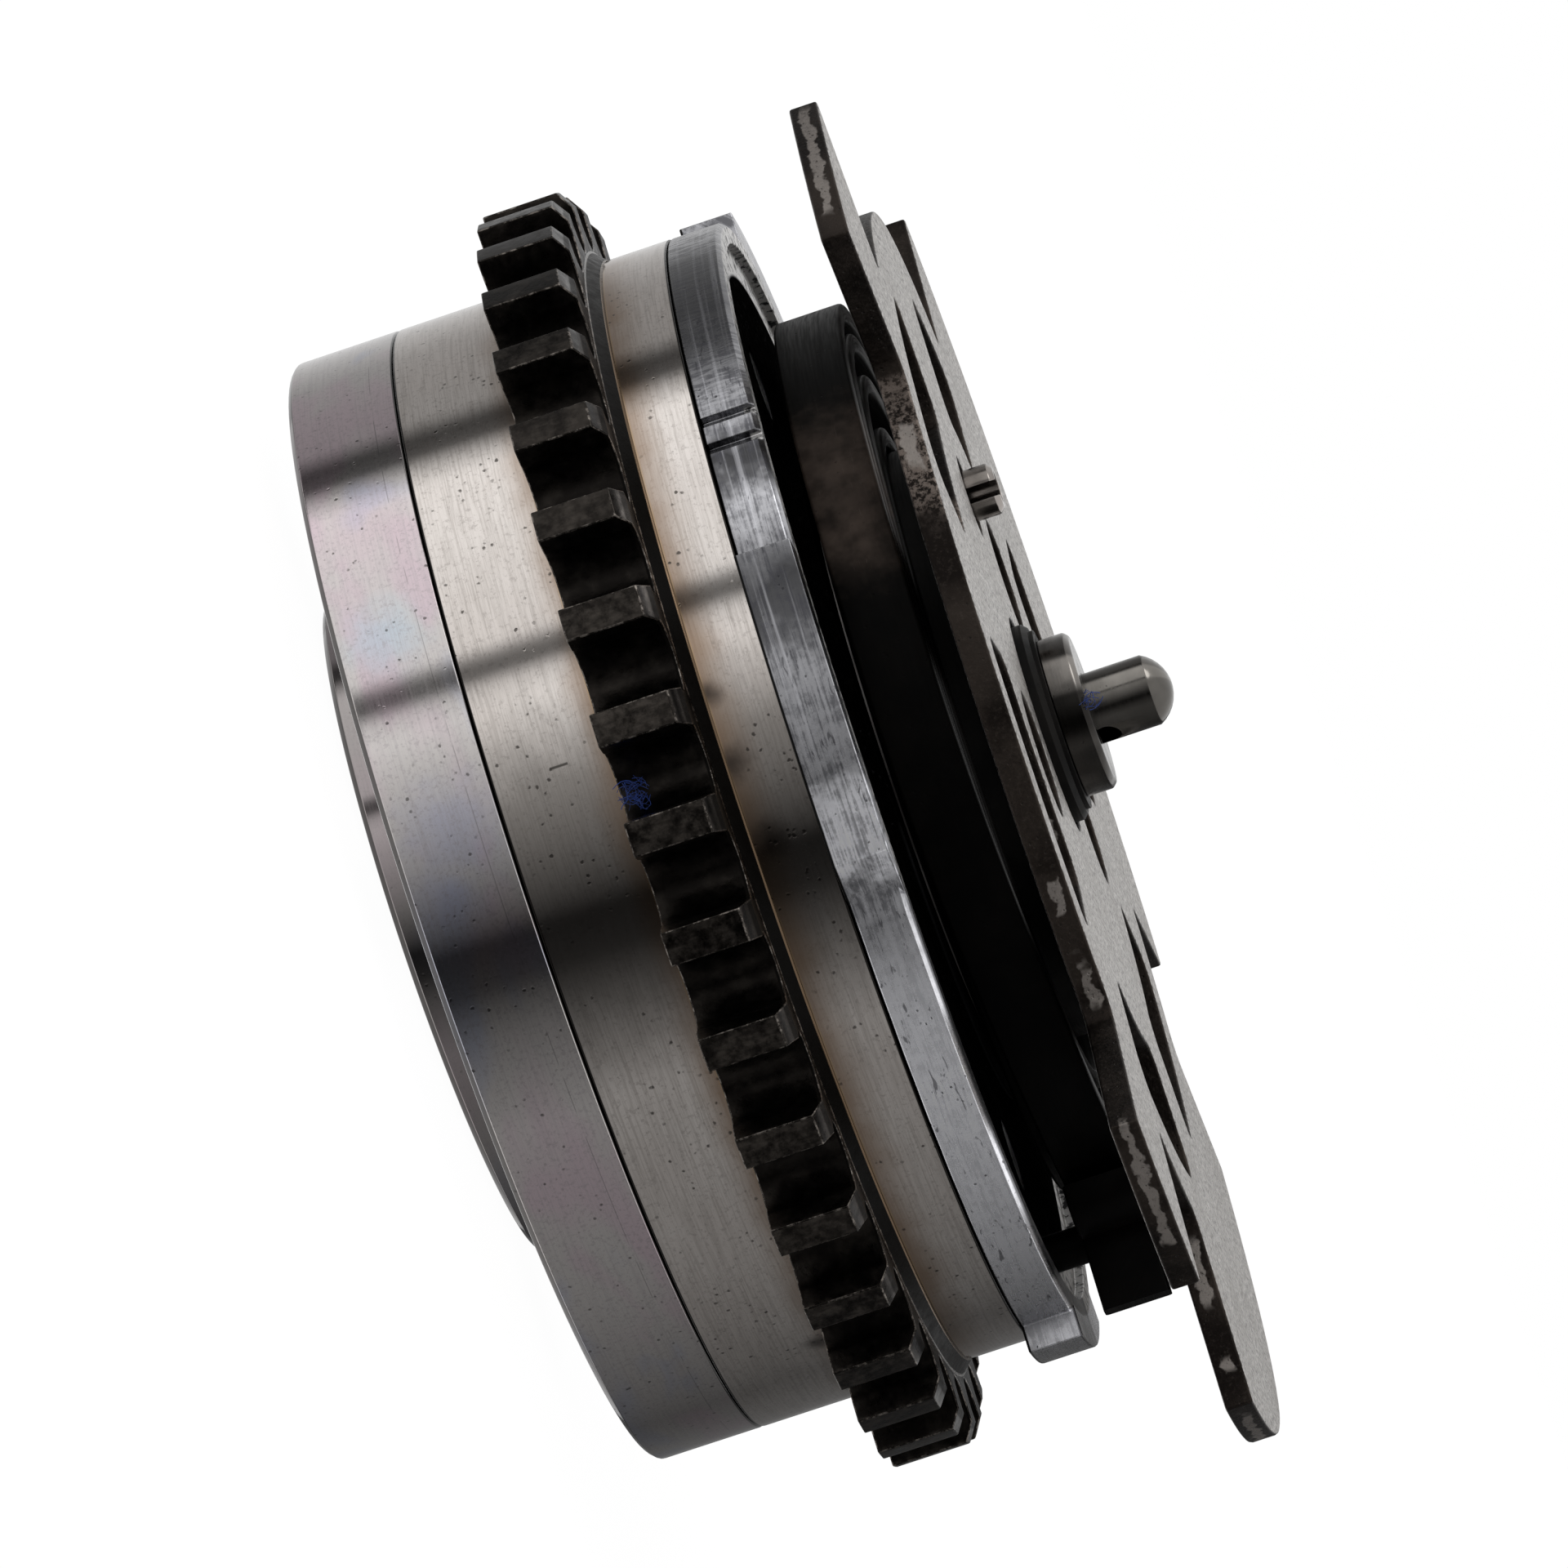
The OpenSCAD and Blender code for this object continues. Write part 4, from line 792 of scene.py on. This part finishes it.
def lint_tree():
    tree = bpy.data.node_groups.new("lint_tuft", "GeometryNodeTree")
    face = tree.interface
    face.new_socket("Start", in_out="INPUT", socket_type="NodeSocketGeometry")
    ids = {}
    for label, kind, value in (("Middle", "Vector", (0, 0, 0)), ("Spread", "Vector", (MM, MM, MM)),
                               ("Fibres", "Int", 20), ("Fibre length", "Float", 1.6 * MM),
                               ("Fibre radius", "Float", 0.03 * MM), ("Seed", "Int", 1)):
        socket = face.new_socket(label, in_out="INPUT", socket_type="NodeSocket" + kind)
        socket.default_value = value
        ids[label] = socket.identifier
    socket = face.new_socket("Fibre finish", in_out="INPUT", socket_type="NodeSocketMaterial")
    ids["Fibre finish"] = socket.identifier
    face.new_socket("Tuft", in_out="OUTPUT", socket_type="NodeSocketGeometry")
    new, link = tree.nodes.new, tree.links.new
    into, out = new("NodeGroupInput"), new("NodeGroupOutput")
    scatter, turn, size = (new("FunctionNodeRandomValue") for _ in range(3))
    for node, low, high in ((scatter, -1.0, 1.0), (turn, 0.0, 2 * math.pi)):
        node.data_type = "FLOAT_VECTOR"
        node.inputs[0].default_value, node.inputs[1].default_value = (low,) * 3, (high,) * 3
    size.inputs[2].default_value, size.inputs[3].default_value = 0.5, 1.1
    place = new("ShaderNodeVectorMath")
    place.operation = "MULTIPLY_ADD"
    spots, bend = new("GeometryNodePoints"), new("GeometryNodeCurveQuadraticBezier")
    section = new("GeometryNodeCurvePrimitiveCircle")
    bend.inputs["Resolution"].default_value = 6
    section.inputs["Resolution"].default_value = 5
    for key, way in (("Start", (-0.5, 0, 0)), ("Middle", (0, 0.6, 0.2)), ("End", (0.5, 0, 0.1))):
        node = new("ShaderNodeVectorMath")
        node.operation = "SCALE"
        node.inputs[0].default_value = way
        link(into.outputs["Fibre length"], node.inputs["Scale"])
        link(node.outputs[0], bend.inputs[key])
    sweep, copies = new("GeometryNodeCurveToMesh"), new("GeometryNodeInstanceOnPoints")
    sweep.inputs["Fill Caps"].default_value = True
    whole, paint = new("GeometryNodeRealizeInstances"), new("GeometryNodeSetMaterial")
    for node in (scatter, turn, size):
        link(into.outputs["Seed"], node.inputs["Seed"])
    for a, b in ((scatter.outputs[0], place.inputs[0]), (into.outputs["Spread"], place.inputs[1]),
                 (into.outputs["Middle"], place.inputs[2]), (into.outputs["Fibres"], spots.inputs["Count"]),
                 (place.outputs[0], spots.inputs["Position"]), (bend.outputs[0], sweep.inputs["Curve"]),
                 (into.outputs["Fibre radius"], section.inputs["Radius"]),
                 (section.outputs[0], sweep.inputs["Profile Curve"]),
                 (spots.outputs[0], copies.inputs["Points"]), (sweep.outputs[0], copies.inputs["Instance"]),
                 (turn.outputs[0], copies.inputs["Rotation"]), (size.outputs[1], copies.inputs["Scale"]),
                 (copies.outputs[0], whole.inputs[0]), (whole.outputs[0], paint.inputs["Geometry"]),
                 (into.outputs["Fibre finish"], paint.inputs["Material"]),
                 (paint.outputs[0], out.inputs["Tuft"])):
        link(a, b)
    return tree, ids


def lint(name, body, r, degree, z, spread, fibres, length, seed):
    raw = add(name + "_start", bpy.data.meshes.new(name + "_start"))
    mod = raw.modifiers.new("tuft", "NODES")
    mod.node_group = tuft_tree
    turn = math.radians(degree)
    mod[tuft_ids["Middle"]] = (r * math.cos(turn) * MM, r * math.sin(turn) * MM, z * MM)
    mod[tuft_ids["Spread"]] = tuple(v * MM for v in spread)
    mod[tuft_ids["Fibres"]] = fibres
    mod[tuft_ids["Fibre length"]] = length * MM
    mod[tuft_ids["Seed"]] = seed
    mod[tuft_ids["Fibre finish"]] = lint_blue
    mesh = bpy.data.meshes.new_from_object(raw.evaluated_get(bpy.context.evaluated_depsgraph_get()))
    bpy.data.objects.remove(raw)
    mesh.shade_smooth()
    tuft = add(name, mesh)
    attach(tuft, body)
    print(name, len(mesh.polygons), "faces")


lint_blue = lint_finish()
tuft_tree, tuft_ids = lint_tree()
lint("lint_in_tooth_gap", "housing", r=46.9, degree=264.2, z=22.0, spread=(0.9, 0.5, 0.7),
     fibres=46, length=1.7, seed=4)
lint("lint_on_valve_head", "rotor", r=5.7, degree=262.0, z=53.55, spread=(0.45, 0.7, 0.5),
     fibres=20, length=1.7, seed=7)

# %% [markdown]
# The pieces whose CAD shape is already right keep it, and only their finish changes. A CAD node's mesh
# is never edited: its material slots are given the new finish.

# %% Finishes for the CAD nodes that stay
KEPT = {
    "cover_screws": screw_dark, "rotor": rotor_iron, "spring_post": spring_black,
    "lobe_seals": seal_plastic, "vane_seals": seal_plastic,
    "valve_sleeve": valve_dark_and_shade, "valve_plug": valve_dark_and_shade, "retaining_ring": valve_dark_and_shade,
    "lobe_seal_springs": bright_steel, "vane_seal_springs": bright_steel, "cover_dowels": bright_steel,
    "lock_bush": bright_steel, "lock_seat": bright_steel, "lock_pin": bright_steel,
}
for name, finish in KEPT.items():
    mesh = nodes[name].data
    mesh.materials.clear()
    mesh.materials.append(finish)
print("kept CAD nodes:", len(KEPT))

# %% [markdown]
# The stage is a pale floor under the rear boss and a ring of soft panels round the drum. Turned metal
# shows whatever stands around it, so the ring carries a bright panel above, dim cards below and two dark
# gaps. The camera does not see the ring, only the metal does. Floor and sky read as white.

# %% Stage: floor, ring of panels and sky
FLOOR_R, FLOOR_Z = 2.5, -0.0004


def ray_share(tree):
    path = tree.nodes.new("ShaderNodeLightPath")
    share = path.outputs["Is Camera Ray"]
    for key in ("Is Glossy Ray", "Is Transmission Ray"):
        top = tree.nodes.new("ShaderNodeMath")
        top.operation = "MAXIMUM"
        tree.links.new(share, top.inputs[0])
        tree.links.new(path.outputs[key], top.inputs[1])
        share = top.outputs[0]
    return share


def pale_floor():
    mesh = bpy.data.meshes.new("floor")
    work = bmesh.new()
    bmesh.ops.create_circle(work, cap_ends=True, segments=96, radius=FLOOR_R)
    bmesh.ops.translate(work, verts=work.verts, vec=(0, 0, FLOOR_Z))
    work.to_mesh(mesh)
    work.free()
    floor = add("floor", mesh)
    mat = bpy.data.materials.new("pale_floor")
    mat.use_nodes = True
    tree = mat.node_tree
    tree.nodes.clear()
    dull, glow = tree.nodes.new("ShaderNodeBsdfDiffuse"), tree.nodes.new("ShaderNodeEmission")
    dull.inputs["Color"].default_value = (0.8, 0.8, 0.8, 1)
    glow.inputs["Strength"].default_value = 1.08
    part = tree.nodes.new("ShaderNodeMath")
    part.operation = "MULTIPLY"
    part.inputs[1].default_value = 0.9
    tree.links.new(ray_share(tree), part.inputs[0])
    both, out = tree.nodes.new("ShaderNodeMixShader"), tree.nodes.new("ShaderNodeOutputMaterial")
    tree.links.new(part.outputs[0], both.inputs[0])
    tree.links.new(dull.outputs[0], both.inputs[1])
    tree.links.new(glow.outputs[0], both.inputs[2])
    tree.links.new(both.outputs[0], out.inputs["Surface"])
    mesh.materials.append(mat)
    floor.visible_glossy = False


PANELS = [
    (-180, 0.9), (-170, 0.22), (-158, 0.12), (-130, 0.08), (-84, 0.22), (-42, 0.3), (-24, 0.15),
    (-14, 0.035), (-6, 0.02), (4, 0.2), (12, 0.38), (28, 0.75), (36, 1.0), (40, 0.85), (43, 0.16),
    (45.5, 0.16), (49, 1.0), (88, 1.15), (93, 0.6), (97, 0.1), (102, 0.06), (108, 0.33), (135, 0.4),
    (180, 0.9)]
RING_R, RING_LOW, RING_HIGH, RING_GLOW = 0.36, -0.16, 0.14, 1.3


def ring_place(degree):
    return degree - math.degrees(math.asin(DRUM_R * MM / RING_R * math.sin(math.radians(degree / 2))))


def panel_ring():
    mesh = bpy.data.meshes.new("panel_ring")
    work = bmesh.new()
    shell = bmesh.ops.create_circle(work, cap_ends=False, segments=180, radius=RING_R)
    wall = bmesh.ops.extrude_edge_only(work, edges=list(work.edges))
    top = [v for v in wall["geom"] if isinstance(v, bmesh.types.BMVert)]
    bmesh.ops.translate(work, verts=shell["verts"], vec=(0, 0, RING_LOW))
    bmesh.ops.translate(work, verts=top, vec=(0, 0, RING_HIGH))
    work.to_mesh(mesh)
    work.free()
    ring = add("panel_ring", mesh)
    mat = bpy.data.materials.new("soft_panels")
    mat.use_nodes = True
    tree = mat.node_tree
    tree.nodes.clear()
    coord, split = tree.nodes.new("ShaderNodeTexCoord"), tree.nodes.new("ShaderNodeSeparateXYZ")
    turn, place = tree.nodes.new("ShaderNodeMath"), tree.nodes.new("ShaderNodeMapRange")
    turn.operation = "ARCTAN2"
    flip = [tree.nodes.new("ShaderNodeMath") for _ in range(2)]
    for n in flip:
        n.operation = "MULTIPLY"
        n.inputs[1].default_value = -1.0
    tree.links.new(coord.outputs["Object"], split.inputs[0])
    tree.links.new(split.outputs[0], flip[0].inputs[0])
    tree.links.new(split.outputs[1], flip[1].inputs[0])
    tree.links.new(flip[0].outputs[0], turn.inputs[0])
    tree.links.new(flip[1].outputs[0], turn.inputs[1])
    tree.links.new(turn.outputs[0], place.inputs[0])
    place.inputs[1].default_value, place.inputs[2].default_value = -math.pi, math.pi
    ramp = tree.nodes.new("ShaderNodeValToRGB")
    stops = ramp.color_ramp.elements
    while len(stops) < len(PANELS):
        stops.new(0.5)
    for stop, (degree, level) in zip(stops, PANELS):
        stop.position = (ring_place(degree) - ring_place(-180)) / (2 * ring_place(180))
        stop.color = (level / RING_GLOW, level / RING_GLOW, level / RING_GLOW, 1)
    glow, out = tree.nodes.new("ShaderNodeEmission"), tree.nodes.new("ShaderNodeOutputMaterial")
    glow.inputs["Strength"].default_value = RING_GLOW
    tree.links.new(place.outputs[0], ramp.inputs[0])
    tree.links.new(ramp.outputs[0], glow.inputs["Color"])
    tree.links.new(glow.outputs[0], out.inputs["Surface"])
    mesh.materials.append(mat)
    ring.visible_camera = False
    ring.visible_shadow = False
    print("panel ring stops:", len(stops))


def sky():
    world = bpy.data.worlds.new("studio")
    bpy.context.scene.world = world
    world.use_nodes = True
    tree = world.node_tree
    tree.nodes.clear()
    glow, out = tree.nodes.new("ShaderNodeBackground"), tree.nodes.new("ShaderNodeOutputWorld")
    level = tree.nodes.new("ShaderNodeMapRange")
    level.inputs[3].default_value, level.inputs[4].default_value = 0.5, 1.0
    glow.inputs["Color"].default_value = (1, 1, 1, 1)
    tree.links.new(ray_share(tree), level.inputs[0])
    tree.links.new(level.outputs[0], glow.inputs["Strength"])
    tree.links.new(glow.outputs[0], out.inputs["Surface"])


pale_floor()
panel_ring()
sky()

# %% [markdown]
# One soft lamp above the drum gives the top edges a little more light and the floor a shadow. The camera
# has a long lens, and looks across the drum's axis from the photo's side, with the drum lying over.

# %% Lamp and camera
def soft_lamp(name, place, aim, size, power):
    data = bpy.data.lights.new(name, "AREA")
    data.shape, data.size, data.energy = "DISK", size, power
    lamp = add(name, data)
    lamp.location = place
    lamp.rotation_euler = (Vector(aim) - Vector(place)).to_track_quat("-Z", "Y").to_euler()


soft_lamp("overhead_lamp", place=(-0.75, -0.30, 0.75), aim=(0, 0, 0.03), size=0.6, power=2.0)

lens = bpy.data.cameras.new("photo_lens")
lens.lens, lens.sensor_width, lens.sensor_fit = 240.7, 36.0, "HORIZONTAL"
lens.clip_start, lens.clip_end = 0.05, 20.0
eye = add("photo_camera", lens)
right, up, back = (0.31482, 0.07447, 0.94623), (-0.94915, 0.02470, 0.31385), (0.0, -0.99692, 0.07846)
for column, way in enumerate((right, up, back)):
    for row in range(3):
        eye.matrix_world[row][column] = way[row]
eye.matrix_world.translation = (-0.00198, -0.8054, 0.0924)
bpy.context.scene.camera = eye
bpy.context.scene.view_settings.view_transform = "Standard"
print("camera:", eye.name, "lens", round(lens.lens, 1), "mm")
